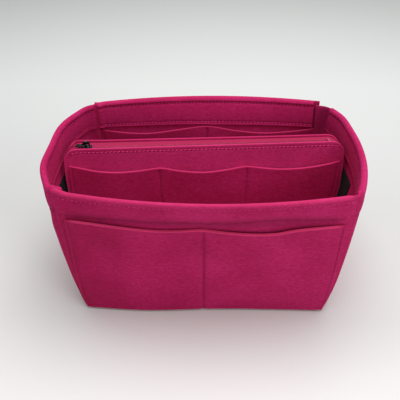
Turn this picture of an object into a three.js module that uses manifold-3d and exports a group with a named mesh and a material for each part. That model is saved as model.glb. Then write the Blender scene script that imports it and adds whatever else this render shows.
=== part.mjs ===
// Felt handbag organiser: an open basket of sewn felt panels, with a zipped pouch standing across its middle.
// Millimetres, +Z up. The origin is on the floor under the middle of the base, and -Y is the front.
import * as THREE from "three";
import { mergeVertices } from "three/addons/utils/BufferGeometryUtils.js";
import Module from "manifold-3d";

const wasm = await Module();
wasm.setup();

// Basket: front and back panels, with side panels that wrap round the corners and lap behind them
const height = 161;
const backRise = 2.5; // the back rim stands this much higher
const rimWidth = 256; // of the front and back panels
const baseWidth = 252;
const baseDepth = 153; // front to back at the corners
const depthFlare = 16; // added to that at the rim
const rimDepth = baseDepth + depthFlare;
const rimBow = 16; // how far the front and back rims bow out past their corners
const bowSharpness = 3.5; // the bow gathers near the rim
const backTwist = 4; // the back rim stands turned on the base: this much at a corner
const endSwell = 5; // the front and back panels are wider than that low down
const swellSharpness = 0.6;
const baseWrap = 1; // the side panels come round past the front panel's ends, more at the rim
const fullRimWrap = 10;
const tightRimWrap = 5; // at the front panel's right end
const rightBulge = 17.5; // swell of the side rims between their corners
const leftBulge = 15.3;
const bulgeFullness = 1.3;
const cornerRound = 4;
const felt = 2.6;
const seamLap = 4;
const hemDrop = 28.5; // depth of the hem that is folded in at the rim
const hemEndGap = 7; // the hem stops short of the corners
const hemStep = 0.6; // run of the hem's ends and of its raw edge
const foldRise = 2.3; // height of the rounded fold at the rim
const foldTurn = THREE.MathUtils.degToRad(70);
const unhemmed = 0.05; // step left where the hem stops
const gap = 0.3; // between pieces that touch

// Flat pockets: the felt is sewn down at its seams and gapes a little between them.
const pocketFelt = 2.2;
const pocketGape = 3.2;
const pocketFoot = 3; // lower edge above the floor
const outerPocketDrop = 30.5; // upper edge below the rim
const outerPocketTop = height - outerPocketDrop;
const outerPocketDip = 6;
const outerPocketInset = 5; // from the panel's ends
const innerPocketGap = 1.5; // upper edge below the hem
const innerPocketTop = height - hemDrop - innerPocketGap;
const innerPocketDip = 9;
const innerPocketInset = 9;
const basketPocketSeams = [-1, 0, 1];

// Hook-and-loop tape that holds the pouch's ends to the side panels
const tapeThickness = 1.3;
const tapeHeight = 44;
const tapeDrop = 12.5; // upper edge below the hem
const tapeFoot = height - hemDrop - tapeDrop - tapeHeight;
const loopWidth = 50;
const hookWidth = 9;
const hookMargin = 4; // the hook tape is this much shorter at each end

// Zipped pouch, in its own frame: X along it, Z up from its lower edge, -Y its front
const pouchHeight = 150;
const pouchDepth = 15;
const pouchCorner = 14; // radius of the upper corners
const waistDrop = 4; // the sides run in this far below the tape
const pouchWaist = tapeFoot - waistDrop;
const pouchBaseEase = 4; // beside the wall at the bottom
const pouchTopEase = 1.5;
const tapeGap = 0.4; // between hook and loop
const gussetInset = 0.6;
const pouchShift = -11.5; // the lower edge stands forward of the middle
const pouchLean = THREE.MathUtils.degToRad(8);
const pouchTurn = THREE.MathUtils.degToRad(4.5);
const pouchPocketDrop = 23; // upper edge below the pouch's top
const pouchPocketTop = pouchHeight - pouchPocketDrop;
const pouchPocketDip = 6;
const pouchPocketRise = 5; // its upper edge climbs to the pouch's ends
const pouchPocketInset = 4;
const pouchPocketFoot = 4;
const pouchPocketSeams = [-1, -1 / 3, 1 / 3, 1];

// Zip: two tapes with a nylon coil each, end stops, a slider and its pull tab
const zipDrop = 3.2; // tapes below the pouch's upper edge
const zipTape = 0.8;
const zipTapeEnd = 8; // the tapes run this far down past the round corners
const zipParting = 0.8; // between the two coils
const coilWidth = 2;
const coilHeight = 1.6;
const coilTail = 12; // how far the coils run round the right-hand corner
const stopLength = 3;
const stopWall = 0.6;
const sliderLength = 10;
const sliderWidth = 8;
const sliderPlate = 1.2;
const sliderLip = 0.8;
const neckLength = 3;
const neckWidth = 0.4;
const sliderPlay = 1; // from the slider to its stops
const crownWidth = 2;
const crownBar = 1;
const crownLength = 4.8; // of the window under the crown
const crownRise = 2.4;
const pullThickness = 1.2;
const pullLength = 10.5;
const pullWidth = 5.6;
const pullArm = 1.1;
const pullEye = 4.2; // length of the eye past the pull's crossbar
const pullCorner = 1.6;

const feltLook = { color: 0xb3134f, roughness: 0.95 };
const hookLoopLook = { color: 0x101012, roughness: 0.9 };
const webbingLook = { color: 0xc21e58, roughness: 0.8 };
const coilLook = { color: 0xb51b52, roughness: 0.45 };
const gunmetalLook = { color: 0x2b2a2c, roughness: 0.35, metalness: 0.9 };

const { lerp } = THREE.MathUtils;
const vec2 = (x, y) => new THREE.Vector2(x, y);
const ramp = (from, to, steps) => Array.from({ length: steps + 1 }, (_, i) => lerp(from, to, i / steps));

// Geometry from positions and triangles, turned so that its faces point out
function facingOut(positions, triangles) {
  const at = (i) => new THREE.Vector3().fromArray(positions, 3 * i);
  let volume = 0;
  for (let i = 0; i < triangles.length; i += 3)
    volume += at(triangles[i]).dot(at(triangles[i + 1]).cross(at(triangles[i + 2])));
  return new THREE.BufferGeometry()
    .setAttribute("position", new THREE.Float32BufferAttribute(positions, 3))
    .setIndex(volume < 0 ? triangles.toReversed() : triangles);
}

// A closed body over a grid. place(u, v, w) gives a Vector3, with w 0 on one face and 1 on the other.
function slab(us, vs, place) {
  const positions = [];
  for (const w of [0, 1])
    for (const u of us)
      for (const v of vs) positions.push(...place(u, v, w));
  const triangles = [];
  const index = (w, i, j) => (w * us.length + i) * vs.length + j;
  const quad = (a, b, c, d) => triangles.push(a, b, c, a, c, d);
  const endU = us.length - 1;
  const endV = vs.length - 1;
  for (let i = 0; i < endU; i++)
    for (let j = 0; j < endV; j++) {
      quad(index(0, i, j), index(0, i, j + 1), index(0, i + 1, j + 1), index(0, i + 1, j));
      quad(index(1, i, j), index(1, i + 1, j), index(1, i + 1, j + 1), index(1, i, j + 1));
    }
  for (let j = 0; j < endV; j++) {
    quad(index(0, 0, j), index(1, 0, j), index(1, 0, j + 1), index(0, 0, j + 1));
    quad(index(0, endU, j), index(0, endU, j + 1), index(1, endU, j + 1), index(1, endU, j));
  }
  for (let i = 0; i < endU; i++) {
    quad(index(0, i, 0), index(0, i + 1, 0), index(1, i + 1, 0), index(1, i, 0));
    quad(index(0, i, endV), index(1, i, endV), index(1, i + 1, endV), index(0, i + 1, endV));
  }
  return facingOut(positions, triangles);
}

// An outline in X and Z, carried along Y
function carried(points, yFrom, yTo) {
  const shape = points instanceof THREE.Shape ? points : new THREE.Shape(points);
  const solid = new THREE.ExtrudeGeometry(shape, { depth: yTo - yFrom, bevelEnabled: false });
  return solid.rotateX(Math.PI / 2).translate(0, yTo, 0);
}

function box(x, y, z) {
  const solid = new THREE.BoxGeometry(x[1] - x[0], y[1] - y[0], z[1] - z[0]);
  return solid.translate((x[0] + x[1]) / 2, (y[0] + y[1]) / 2, (z[0] + z[1]) / 2);
}

function toSolid(geometry) {
  const bare = geometry.clone().deleteAttribute("normal").deleteAttribute("uv");
  const merged = mergeVertices(bare, 1e-4);
  return new wasm.Manifold(
    new wasm.Mesh({
      numProp: 3,
      vertProperties: new Float32Array(merged.attributes.position.array),
      triVerts: new Uint32Array(merged.index.array),
    }),
  );
}

function united(geometries) {
  const mesh = geometries.map(toSolid).reduce((whole, next) => whole.add(next)).getMesh();
  return new THREE.BufferGeometry()
    .setAttribute("position", new THREE.Float32BufferAttribute(mesh.vertProperties, 3))
    .setIndex(Array.from(mesh.triVerts));
}

const group = new THREE.Group();
group.name = "purse_organizer_insert";
const pouch = new THREE.Group();
pouch.name = "pouch";
group.add(pouch);

function addTo(parent, name, geometry, look) {
  geometry.computeVertexNormals();
  const mesh = new THREE.Mesh(geometry, new THREE.MeshStandardMaterial({ metalness: 0, ...look }));
  mesh.name = name;
  parent.add(mesh);
  return mesh;
}

// The back and left walls are worked out as a front and a right one, and turned half round.
function addTurned(name, geometry, look) {
  addTo(group, name, geometry, look).rotation.z = Math.PI;
}

// Shape of the walls at a height z
const share = (z) => Math.min(z / height, 1);
const swell = (z) => endSwell * Math.sin(Math.PI * share(z) ** swellSharpness);
const panelHalf = (z) => lerp(baseWidth, rimWidth, share(z)) / 2 + swell(z);
const cornerHalf = (z) => lerp(baseDepth, rimDepth, share(z)) / 2;
const bow = (wall, z) => rimBow * (z / (height + wall.rise)) ** bowSharpness;
const fullness = (z) => 1 - (1 - share(z)) ** bulgeFullness;

// Front and back walls as seen from outside, with the side panels' wraps at their left and right ends
const frontWall = { twist: 0, rise: 0, wraps: [fullRimWrap, tightRimWrap] };
const backWall = { twist: backTwist, rise: backRise, wraps: [fullRimWrap, fullRimWrap] };
// Side walls, each from the right end of one of those to the left end of the other
const rightWall = { from: frontWall, to: backWall, bulge: rightBulge };
const leftWall = { from: backWall, to: frontWall, bulge: leftBulge };

// A front wall's outer face at x, z: the point, the direction along the wall and the one into the basket
function frontAt(wall, x, z) {
  const s = x / panelHalf(z);
  const bowed = bow(wall, z);
  const twist = wall.twist * share(z) ** 2;
  const along = vec2(1, (2 * bowed * s + twist) / panelHalf(z)).normalize();
  return {
    point: vec2(x, twist * s - cornerHalf(z) - bowed * (1 - s * s)),
    along,
    inward: vec2(-along.y, along.x),
  };
}

// Where a side panel turns the corner at a front wall's left end, side -1, or its right end, side 1
function cornerAt(wall, side, z) {
  const { point, along, inward } = frontAt(wall, side * panelHalf(z), z);
  const wrap = lerp(baseWrap, wall.wraps[side < 0 ? 0 : 1], share(z));
  return point.addScaledVector(inward, felt + gap).addScaledVector(along, side * wrap);
}

// A side wall's outer face between its corners, t from -1 at the front to 1 at the back
function sideAt(wall, t, z) {
  const front = cornerAt(wall.from, 1, z);
  const back = cornerAt(wall.to, -1, z).negate();
  const bulge = wall.bulge * fullness(z);
  const along = back.clone().sub(front).multiplyScalar(0.5);
  along.x -= 2 * t * bulge;
  along.normalize();
  const point = front.lerp(back, (t + 1) / 2);
  point.x += bulge * (1 - t * t);
  return { point, inward: vec2(-along.y, along.x) };
}

// A wall's path at one height, as stations with a point, a mitred direction inwards and the hem's thickness
function frontPath(wall, z) {
  const end = panelHalf(z);
  const hemEnd = end - hemEndGap;
  const bare = [end, hemEnd + hemStep].map((x) => ({ x, hem: unhemmed }));
  const hemmed = ramp(-hemEnd, hemEnd, 14).map((x) => ({ x, hem: felt }));
  const left = bare.map(({ x, hem }) => ({ x: -x, hem }));
  return [...left, ...hemmed, ...bare.toReversed()].map(({ x, hem }) => ({ ...frontAt(wall, x, z), hem }));
}

// The raw edge of a side panel, lapped behind an end of a front wall
function lapEnd(wall, side, z) {
  const { point, inward } = frontAt(wall, side * (panelHalf(z) - seamLap), z);
  return point.addScaledVector(inward, felt + gap);
}

function roundedCorner(before, corner, after) {
  const from = corner.clone().sub(before).setLength(cornerRound).negate().add(corner);
  const to = after.clone().sub(corner).setLength(cornerRound).add(corner);
  const curve = new THREE.QuadraticBezierCurve(from, corner, to);
  return curve.getPoints(3);
}

function sidePath(wall, z) {
  const hemShare = 1 - hemEndGap / cornerHalf(z);
  const stepShare = hemStep / cornerHalf(z);
  const arc = ramp(-hemShare, hemShare, 12).map((t) => sideAt(wall, t, z).point);
  const frontEnd = lapEnd(wall.from, 1, z);
  const backEnd = lapEnd(wall.to, -1, z).negate();
  const backCorner = cornerAt(wall.to, -1, z).negate();
  const front = [frontEnd, ...roundedCorner(frontEnd, cornerAt(wall.from, 1, z), arc[0])];
  const back = [backEnd, ...roundedCorner(backEnd, backCorner, arc.at(-1))].toReversed();
  front.push(sideAt(wall, -hemShare - stepShare, z).point);
  back.unshift(sideAt(wall, hemShare + stepShare, z).point);
  const points = [...front, ...arc, ...back];
  const hem = [...front.map(() => unhemmed), ...arc.map(() => felt), ...back.map(() => unhemmed)];
  const inwards = points.slice(1).map((p, i) => {
    const run = p.clone().sub(points[i]).normalize();
    return vec2(-run.y, run.x);
  });
  return points.map((point, i) => {
    const before = inwards[Math.max(i - 1, 0)];
    const after = inwards[Math.min(i, inwards.length - 1)];
    const mitre = before.clone().add(after).divideScalar(1 + before.dot(after));
    return { point, inward: mitre, hem: hem[i] };
  });
}

// A wall panel with its rim folded in: one layer of felt below, two where it is hemmed, rounded at the fold
function wallPanel(path, rise) {
  const hemFoot = height - hemDrop;
  const foldFoot = height + rise - foldRise;
  const rows = [
    ...ramp(0, hemFoot - hemStep, 7).map((z) => ({ z, hemmed: 0, turn: 0 })),
    ...ramp(hemFoot, foldFoot, 3).map((z) => ({ z, hemmed: 1, turn: 0 })),
    ...[0.5, 1].map((part) => ({
      z: foldFoot + (foldRise * Math.sin(part * foldTurn)) / Math.sin(foldTurn),
      hemmed: 1,
      turn: (1 - Math.cos(part * foldTurn)) / 2,
    })),
  ];
  const stations = path(0).map((_, i) => i);
  return slab(stations, rows, (i, row, w) => {
    const { point, inward, hem } = path(row.z)[i];
    const thickness = felt + row.hemmed * hem;
    const depth = thickness * lerp(row.turn, 1 - row.turn, w);
    const { x, y } = point.clone().addScaledVector(inward, depth);
    return new THREE.Vector3(x, y, row.z);
  });
}

const panelOf = (wall) => wallPanel((z) => frontPath(wall, z), wall.rise);
const sidePanelOf = (wall) => wallPanel((z) => sidePath(wall, z), 0);
addTo(group, "front_panel", panelOf(frontWall), feltLook);
addTurned("back_panel", panelOf(backWall), feltLook);
addTo(group, "right_side_panel", sidePanelOf(rightWall), feltLook);
addTurned("left_side_panel", sidePanelOf(leftWall), feltLook);

// Base panel between the walls, notched for the laps at its corners
const baseHalfWidth = sideAt(rightWall, 0, 0).point.x - felt - gap;
const baseReach = cornerHalf(0) - felt - gap;
const lapReach = baseReach - felt - gap;
const lapEdge = panelHalf(0) - seamLap - gap;
const baseQuarter = [
  vec2(baseHalfWidth, lapReach - cornerRound),
  vec2(baseHalfWidth - cornerRound, lapReach),
  vec2(lapEdge, lapReach),
  vec2(lapEdge, baseReach),
];
const baseBackHalf = [...baseQuarter, ...baseQuarter.map((p) => vec2(-p.x, p.y)).toReversed()];
const baseOutline = [...baseBackHalf, ...baseBackHalf.map((p) => vec2(-p.x, -p.y))];
const baseShape = new THREE.Shape(baseOutline);
const basePanel = new THREE.ExtrudeGeometry(baseShape, { depth: felt, bevelEnabled: false });
addTo(group, "base_panel", basePanel, feltLook);

// How far a pocket stands open at a share of its width: 0 at a seam, 1 midway between two
function openness(s, seams) {
  const next = Math.max(1, seams.findIndex((seam) => seam >= s - 1e-9));
  const part = (s - seams[next - 1]) / (seams[next] - seams[next - 1]);
  return 4 * part * (1 - part);
}

// A pocket's felt: sides(z) gives its half width, and place(x, z, off) a point off the face behind it.
function pocketSheet({ seams, foot, top, dip, rise = 0, sides, place }) {
  const us = seams.slice(1).flatMap((seam, i) => ramp(seams[i], seam, 6).slice(i ? 1 : 0));
  return slab(us, ramp(0, 1, 6), (u, v, w) => {
    const open = openness(u, seams);
    const z = lerp(foot, top - dip * open + rise * u * u, v);
    return place(u * sides(z), z, gap + pocketGape * open * v * v + w * pocketFelt);
  });
}

function offFront(wall, x, z, depth) {
  const { point, inward } = frontAt(wall, x, z);
  const { x: px, y: py } = point.addScaledVector(inward, depth);
  return new THREE.Vector3(px, py, z);
}

const outerPocketOn = (wall) =>
  pocketSheet({
    seams: basketPocketSeams,
    foot: pocketFoot,
    top: outerPocketTop,
    dip: outerPocketDip,
    sides: (z) => panelHalf(z) - outerPocketInset,
    place: (x, z, off) => offFront(wall, x, z, -off),
  });
addTo(group, "front_pocket", outerPocketOn(frontWall), feltLook);
addTurned("back_pocket", outerPocketOn(backWall), feltLook);
const innerPocket = pocketSheet({
  seams: basketPocketSeams,
  foot: felt + gap,
  top: innerPocketTop,
  dip: innerPocketDip,
  sides: (z) => panelHalf(z) - innerPocketInset,
  place: (x, z, off) => offFront(backWall, x, z, felt + off),
});
addTurned("inner_back_pocket", innerPocket, feltLook);

// The pouch stands on the base panel, turned and leaning back.
const pouchStand = felt + gap + (pouchDepth / 2) * Math.sin(pouchLean);
const tapeMiddle = tapeFoot + tapeHeight / 2 - pouchStand;
const pouchDrift = tapeMiddle * Math.sin(pouchLean) * Math.sin(pouchTurn);
pouch.position.set(pouchDrift, pouchShift, pouchStand);
pouch.rotation.set(-pouchLean, 0, pouchTurn, "ZYX");

const wallInside = (z) => sideAt(rightWall, 0, z).point.x - felt;
const tapeStack = 2 * tapeThickness + 2 * gap + tapeGap - gussetInset;
const baseHalf = wallInside(0) - pouchBaseEase;
const waistHalf = wallInside(pouchWaist + pouchStand) - tapeStack;
const topHalf = wallInside(tapeFoot + tapeHeight) - tapeStack - pouchTopEase;
const shoulder = pouchHeight - pouchCorner;
const straightHalf = topHalf - pouchCorner;

// Half the pouch's width at a height below its round corners, and a point on those corners
function pouchSide(z, inset) {
  const low = z < pouchWaist;
  const part = low ? z / pouchWaist : (z - pouchWaist) / (shoulder - pouchWaist);
  return (low ? lerp(baseHalf, waistHalf, part) : lerp(waistHalf, topHalf, part)) - inset;
}

function cornerPoint(angle, inset) {
  const reach = pouchCorner - inset;
  return vec2(straightHalf + reach * Math.cos(angle), shoulder + reach * Math.sin(angle));
}

const mirrored = (points) => points.map((p) => vec2(-p.x, p.y)).toReversed();
const quarter = Math.PI / 2;

// The pouch's edge from a height on its right side, over the top, to the same height on its left
function overTop(z, inset) {
  const right = [vec2(pouchSide(z, inset), z), ...ramp(0, quarter, 6).map((a) => cornerPoint(a, inset))];
  return [...right, ...mirrored(right)];
}

// The same edge under the bottom
function underneath(z, inset) {
  const right = [
    vec2(pouchSide(z, inset), z),
    vec2(pouchSide(pouchWaist, inset), pouchWaist),
    vec2(pouchSide(0, inset), inset),
  ];
  return [...right, ...mirrored(right)];
}

const halfPouch = pouchDepth / 2;
const innerFace = halfPouch - felt;
const pouchOutline = [...overTop(pouchWaist, 0), vec2(-baseHalf, 0), vec2(baseHalf, 0)];
addTo(pouch, "pouch_front_panel", carried(pouchOutline, -halfPouch, -innerFace), feltLook);
addTo(pouch, "pouch_back_panel", carried(pouchOutline, innerFace, halfPouch), feltLook);
const gussetTop = shoulder - zipTapeEnd;
const gussetBand = [
  ...underneath(gussetTop, gussetInset),
  ...underneath(gussetTop, gussetInset + felt).toReversed(),
];
addTo(pouch, "pouch_gusset", carried(gussetBand, gap - innerFace, innerFace - gap), feltLook);
const pouchPocket = pocketSheet({
  seams: pouchPocketSeams,
  foot: pouchPocketFoot,
  top: pouchPocketTop,
  dip: pouchPocketDip,
  rise: pouchPocketRise,
  sides: (z) => pouchSide(z, pouchPocketInset),
  place: (x, z, off) => new THREE.Vector3(x, -halfPouch - off, z),
});
addTo(pouch, "pouch_pocket", pouchPocket, feltLook);

// Hook tape on the pouch's ends, and loop tape on the side panels to meet it
const hookHeights = [tapeFoot + hookMargin, tapeFoot + tapeHeight - hookMargin].map((z) => z - pouchStand);
const hookEdge = (off) => hookHeights.map((z) => vec2(pouchSide(z, gussetInset) + off, z));
const hookTape = [...hookEdge(gap), ...hookEdge(gap + tapeThickness).toReversed()];
const hookSpan = [-hookWidth / 2, hookWidth / 2];
addTo(pouch, "pouch_right_hook_tape", carried(hookTape, ...hookSpan), hookLoopLook);
addTo(pouch, "pouch_left_hook_tape", carried(mirrored(hookTape), ...hookSpan), hookLoopLook);
const pouchEndShift = waistHalf * Math.sin(pouchTurn);
const loopTapeOn = (wall) =>
  slab(ramp(-0.5, 0.5, 6), ramp(tapeFoot, tapeFoot + tapeHeight, 4), (u, z, w) => {
    const t = (pouchEndShift + u * loopWidth) / cornerHalf(z);
    const { point, inward } = sideAt(wall, t, z);
    const { x, y } = point.addScaledVector(inward, felt + gap + w * tapeThickness);
    return new THREE.Vector3(x, y, z);
  });
addTo(group, "right_loop_tape", loopTapeOn(rightWall), hookLoopLook);
addTurned("left_loop_tape", loopTapeOn(leftWall), hookLoopLook);

// Zip tapes: each runs over the top beside its panel and down to the gusset.
const tapeTop = pouchHeight - zipDrop;
const zipBand = [
  ...overTop(gussetTop + gap, zipDrop),
  ...overTop(gussetTop + gap, zipDrop + zipTape).toReversed(),
];
const tapeSpan = [zipParting / 2, innerFace - gap];
addTo(pouch, "zip_back_tape", carried(zipBand, ...tapeSpan), webbingLook);
addTo(pouch, "zip_front_tape", carried(zipBand, -tapeSpan[1], -tapeSpan[0]), webbingLook);

// Coils: from the stops at the left, along the top and some way round the right-hand corner
const coilStart = stopLength + gap - straightHalf;
const coilEdge = (inset) => [
  vec2(coilStart, pouchHeight - inset),
  ...ramp(quarter, quarter - coilTail / pouchCorner, 4).map((a) => cornerPoint(a, inset)),
];
const coilInset = zipDrop - gap - coilHeight;
const coilBand = [...coilEdge(coilInset), ...coilEdge(zipDrop - gap).toReversed()];
const coilSpan = [zipParting / 2, zipParting / 2 + coilWidth];
addTo(pouch, "zip_back_coil", carried(coilBand, ...coilSpan), coilLook);
addTo(pouch, "zip_front_coil", carried(coilBand, -coilSpan[1], -coilSpan[0]), coilLook);

// Stops: a block ends each coil at the left, and one clip bridges both at the right.
const coilFoot = tapeTop + gap;
const coilTop = coilFoot + coilHeight;
const topStopLength = [-straightHalf, stopLength - straightHalf];
addTo(pouch, "zip_back_top_stop", box(topStopLength, coilSpan, [coilFoot, coilTop]), gunmetalLook);
const frontSpan = [-coilSpan[1], -coilSpan[0]];
addTo(pouch, "zip_front_top_stop", box(topStopLength, frontSpan, [coilFoot, coilTop]), gunmetalLook);
const clipLength = [straightHalf - stopLength, straightHalf];
const clipHalf = coilSpan[1] + gap + stopWall;
const clipBridge = box(clipLength, [-clipHalf, clipHalf], [coilTop + gap, coilTop + gap + stopWall]);
const clipLegs = [-1, 1].map((side) => {
  const across = [side * clipHalf, side * (clipHalf - stopWall)].sort((a, b) => a - b);
  return box(clipLength, across, [coilFoot, coilTop + gap + stopWall]);
});
addTo(pouch, "zip_bottom_stop", united([clipBridge, ...clipLegs]), coilLook);

// Slider, closed at the left: two plates and a neck between the coils, with a crown for the pull on top
const sliderX = coilStart + sliderPlay + sliderLength / 2;
const sliderEnds = [sliderX - sliderLength / 2, sliderX + sliderLength / 2];
const sliderHalf = sliderWidth / 2;
const plateFoot = coilTop + gap;
const plateTop = plateFoot + sliderPlate;
const underTop = tapeTop - zipTape - gap;
const crownOuter = crownLength / 2 + crownBar;
const crown = new THREE.Shape([
  vec2(sliderX - crownOuter, plateFoot),
  vec2(sliderX + crownOuter, plateFoot),
  vec2(sliderX + crownOuter, plateTop + crownRise),
  vec2(sliderX + crownOuter - crownBar, plateTop + crownRise + crownBar),
  vec2(sliderX - crownOuter + crownBar, plateTop + crownRise + crownBar),
  vec2(sliderX - crownOuter, plateTop + crownRise),
]);
crown.holes.push(
  new THREE.Path([
    vec2(sliderX - crownLength / 2, plateTop),
    vec2(sliderX - crownLength / 2, plateTop + crownRise),
    vec2(sliderX + crownLength / 2, plateTop + crownRise),
    vec2(sliderX + crownLength / 2, plateTop),
  ]),
);
const slider = united([
  box(sliderEnds, [-sliderHalf, sliderHalf], [plateFoot, plateTop]),
  box(sliderEnds, [-sliderHalf, sliderLip - sliderHalf], [coilFoot, plateTop]),
  box(sliderEnds, [sliderHalf - sliderLip, sliderHalf], [coilFoot, plateTop]),
  box(sliderEnds, [-sliderHalf, sliderHalf], [underTop - sliderPlate, underTop]),
  box([sliderEnds[0], sliderEnds[0] + neckLength], [-neckWidth / 2, neckWidth / 2], [underTop, plateFoot]),
  carried(crown, -crownWidth / 2, crownWidth / 2),
]);
addTo(pouch, "zip_slider", slider, gunmetalLook);

// Pull tab: a flat plate whose eye holds the crossbar under the crown
const pullHalf = pullWidth / 2;
const pullShape = new THREE.Shape();
const barHalf = pullThickness / 2;
pullShape.moveTo(barHalf, -pullHalf);
pullShape.lineTo(barHalf, pullHalf);
pullShape.lineTo(pullCorner - pullLength, pullHalf);
pullShape.quadraticCurveTo(-pullLength, pullHalf, -pullLength, pullHalf - pullCorner);
pullShape.lineTo(-pullLength, pullCorner - pullHalf);
pullShape.quadraticCurveTo(-pullLength, -pullHalf, pullCorner - pullLength, -pullHalf);
const eyeHalf = pullHalf - pullArm;
pullShape.holes.push(
  new THREE.Path([
    vec2(-barHalf, -eyeHalf),
    vec2(-barHalf - pullEye, -eyeHalf),
    vec2(-barHalf - pullEye, eyeHalf),
    vec2(-barHalf, eyeHalf),
  ]),
);
const pullTab = new THREE.ExtrudeGeometry(pullShape, {
  depth: pullThickness,
  bevelEnabled: false,
  curveSegments: 6,
});
pullTab.translate(sliderX, 0, plateTop + crownRise / 2 - barHalf);
addTo(pouch, "zip_pull_tab", pullTab, gunmetalLook);

export default group;
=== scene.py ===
import math

import bmesh
import bpy
import numpy as np
from mathutils import Matrix, Vector


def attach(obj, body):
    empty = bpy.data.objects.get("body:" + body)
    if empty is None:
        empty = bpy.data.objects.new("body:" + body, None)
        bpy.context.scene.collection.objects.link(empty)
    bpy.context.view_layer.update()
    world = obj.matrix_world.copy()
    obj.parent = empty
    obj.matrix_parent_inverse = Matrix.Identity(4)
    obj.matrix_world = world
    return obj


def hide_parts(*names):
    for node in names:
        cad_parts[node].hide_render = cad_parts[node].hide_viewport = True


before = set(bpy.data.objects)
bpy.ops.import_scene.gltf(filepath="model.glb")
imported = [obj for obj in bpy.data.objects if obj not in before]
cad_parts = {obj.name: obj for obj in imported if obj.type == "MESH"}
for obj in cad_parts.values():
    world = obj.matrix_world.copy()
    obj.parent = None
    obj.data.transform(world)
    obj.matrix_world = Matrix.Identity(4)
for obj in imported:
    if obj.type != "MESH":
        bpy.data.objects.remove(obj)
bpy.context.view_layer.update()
mm = 0.001  # shapes are worked out in millimetres and turned to metres in the meshes

# the basket's walls, the same numbers as its solids
walls = {
    "height": 161.0, "rimWidth": 256.0, "baseWidth": 252.0, "rimDepth": 169.0, "baseDepth": 153.0,
    "bow": 16.0, "bowSharpness": 3.5, "swell": 5.0, "swellSharpness": 0.6, "bulgeFullness": 1.3,
    "felt": 2.6, "gap": 0.3, "lap": 4.0, "baseWrap": 1.0, "baseRound": 3.0, "slack": 0.7,
    "slackWaves": (7.3, 4.1),
    "footBowAt": (-0.5, 0.45), "footBowSharpness": 5, "footSwellRise": (0, 14), "footSwellFade": (22, 75),
}
height, felt, gap = walls["height"], walls["felt"], walls["gap"]
# front and back walls as seen from outside, and the side walls from one's right end to the other's left end;
# mouth is how dark the painted shade lies under a wall's hem, the next number how pale the painted highlight
# lies along its fold, and hemWave how the lower row of its hem wanders
plainWall = {"rise": 0.0, "mouth": 0.0, "worn": 0.0, "hemWave": [(-1, 0), (1, 0)]}
frontShape = {
    "twist": 0.0, "rise": 0.0, "wraps": (10.0, 5.0), "footBow": 4.8, "stacks": (2.6, 0.0),
    "mouth": 0.45, "worn": 0.8,
    "hemWave": [(-1, 0), (-0.72, 0), (-0.53, 0.3), (-0.34, -1.3), (-0.15, 0), (0.11, 0.3), (0.3, 2.1),
                (0.49, 4), (0.69, 2.1), (0.85, 0.8), (1, 0)],
}
backShape = {
    **plainWall, "twist": 4.0, "rise": 2.5, "wraps": (10.5, 12.5), "footBow": 0.0, "stacks": (0.0, 0.0),
    "mouth": 0.35, "worn": 0.3,
}
rightShape = {
    **plainWall, "from": frontShape, "to": backShape, "bulge": 17.5, "rounds": (6.5, 9.0), "laps": (4.0, 4.0),
    "swells": [(0.75, 0.28, 3.8), (-0.1, 0.4, -0.6)], "footSwells": [(-0.85, 0.3, 5.5)],
}
leftShape = {
    **plainWall, "from": backShape, "to": frontShape, "bulge": 15.3, "rounds": (10.0, 5.0),
    "laps": (4.0, 6.0),
    "swells": [(-0.5, 0.45, 4.6), (0.6, 0.36, 3.8)], "footSwells": [(0.85, 0.3, 6.0)],
}
foldZone = (116.0, 131.0)  # heights over which the laps at the corners change on the way up to the hems
lapZone = (132.2, 134.2)  # and over which a lap's end leaves the wall that it is sewn to
sideSteps = {"lap": 14, "corner": 26, "side": 150}  # stations along a side wall
cutSteps = (0, 0.12, 0.35, 0.8, 1.5)  # distances from a cut edge that carry its shape
seamSteps = (-2.4, -1.5, -0.9, -0.4, 0, 0.4, 0.9, 1.5, 2.4)  # and from a row of stitches
cutClear, seamClear, closest = 2.2, 3.0, 0.03  # how far other steps keep away from them, and from each other


def mix(a, b, t):
    return a + (b - a) * t


def ease(a, b, x):
    t = np.clip((x - a) / (b - a), 0, 1)
    return t * t * (3 - 2 * t)


def dent(x, centre, width):
    return np.exp(-(((x - centre) / width) ** 2))


def quarterRound(distance, reach):  # 0 at an edge, 1 from reach onwards
    return np.sqrt(1 - (1 - np.clip(distance / reach, 0, 1)) ** 2)


def unit(v):
    return v / np.maximum(np.linalg.norm(v, axis=-1, keepdims=True), 1e-9)


def turnedIn(along):
    return np.stack([-along[..., 1], along[..., 0]], -1)


def apart(spots, least):  # sorted numbers without those that lie closer than least
    return spots[np.concatenate([[True], np.diff(spots) > least])]


def curveThrough(knots, x):  # smooth curve through (x, y) knots, flat beyond its ends
    xs, ys = np.array(knots, float).T
    steps = np.diff(ys) / np.diff(xs)
    slopes = np.concatenate([[steps[0]], (steps[1:] + steps[:-1]) / 2, [steps[-1]]])
    x = np.clip(x, xs[0], xs[-1])
    i = np.clip(np.searchsorted(xs, x) - 1, 0, len(xs) - 2)
    run = xs[i + 1] - xs[i]
    t = (x - xs[i]) / run
    level = ys[i] * (1 + 2 * t) * (1 - t) ** 2 + ys[i + 1] * t * t * (3 - 2 * t)
    return level + run * slopes[i] * t * (1 - t) ** 2 - run * slopes[i + 1] * t * t * (1 - t)


def stops(length, step, around=()):  # distances along a sheet, close together at its cut edges and its seams
    spots = set(np.linspace(0, length, max(3, int(length / step))))
    spots = {s for s in spots if cutClear < s < length - cutClear}
    for centre in around:
        spots = {s for s in spots if abs(s - centre) > seamClear} | {centre + d for d in seamSteps}
    spots |= set(cutSteps) | {length - d for d in cutSteps}
    return apart(np.array(sorted(s for s in spots if 0 <= s <= length)), closest)


def distancesAt(points):
    return np.concatenate([[0], np.cumsum(np.linalg.norm(np.diff(points, axis=0), axis=-1))])


def share(z):
    return np.clip(z / height, 0, 1)


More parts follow.
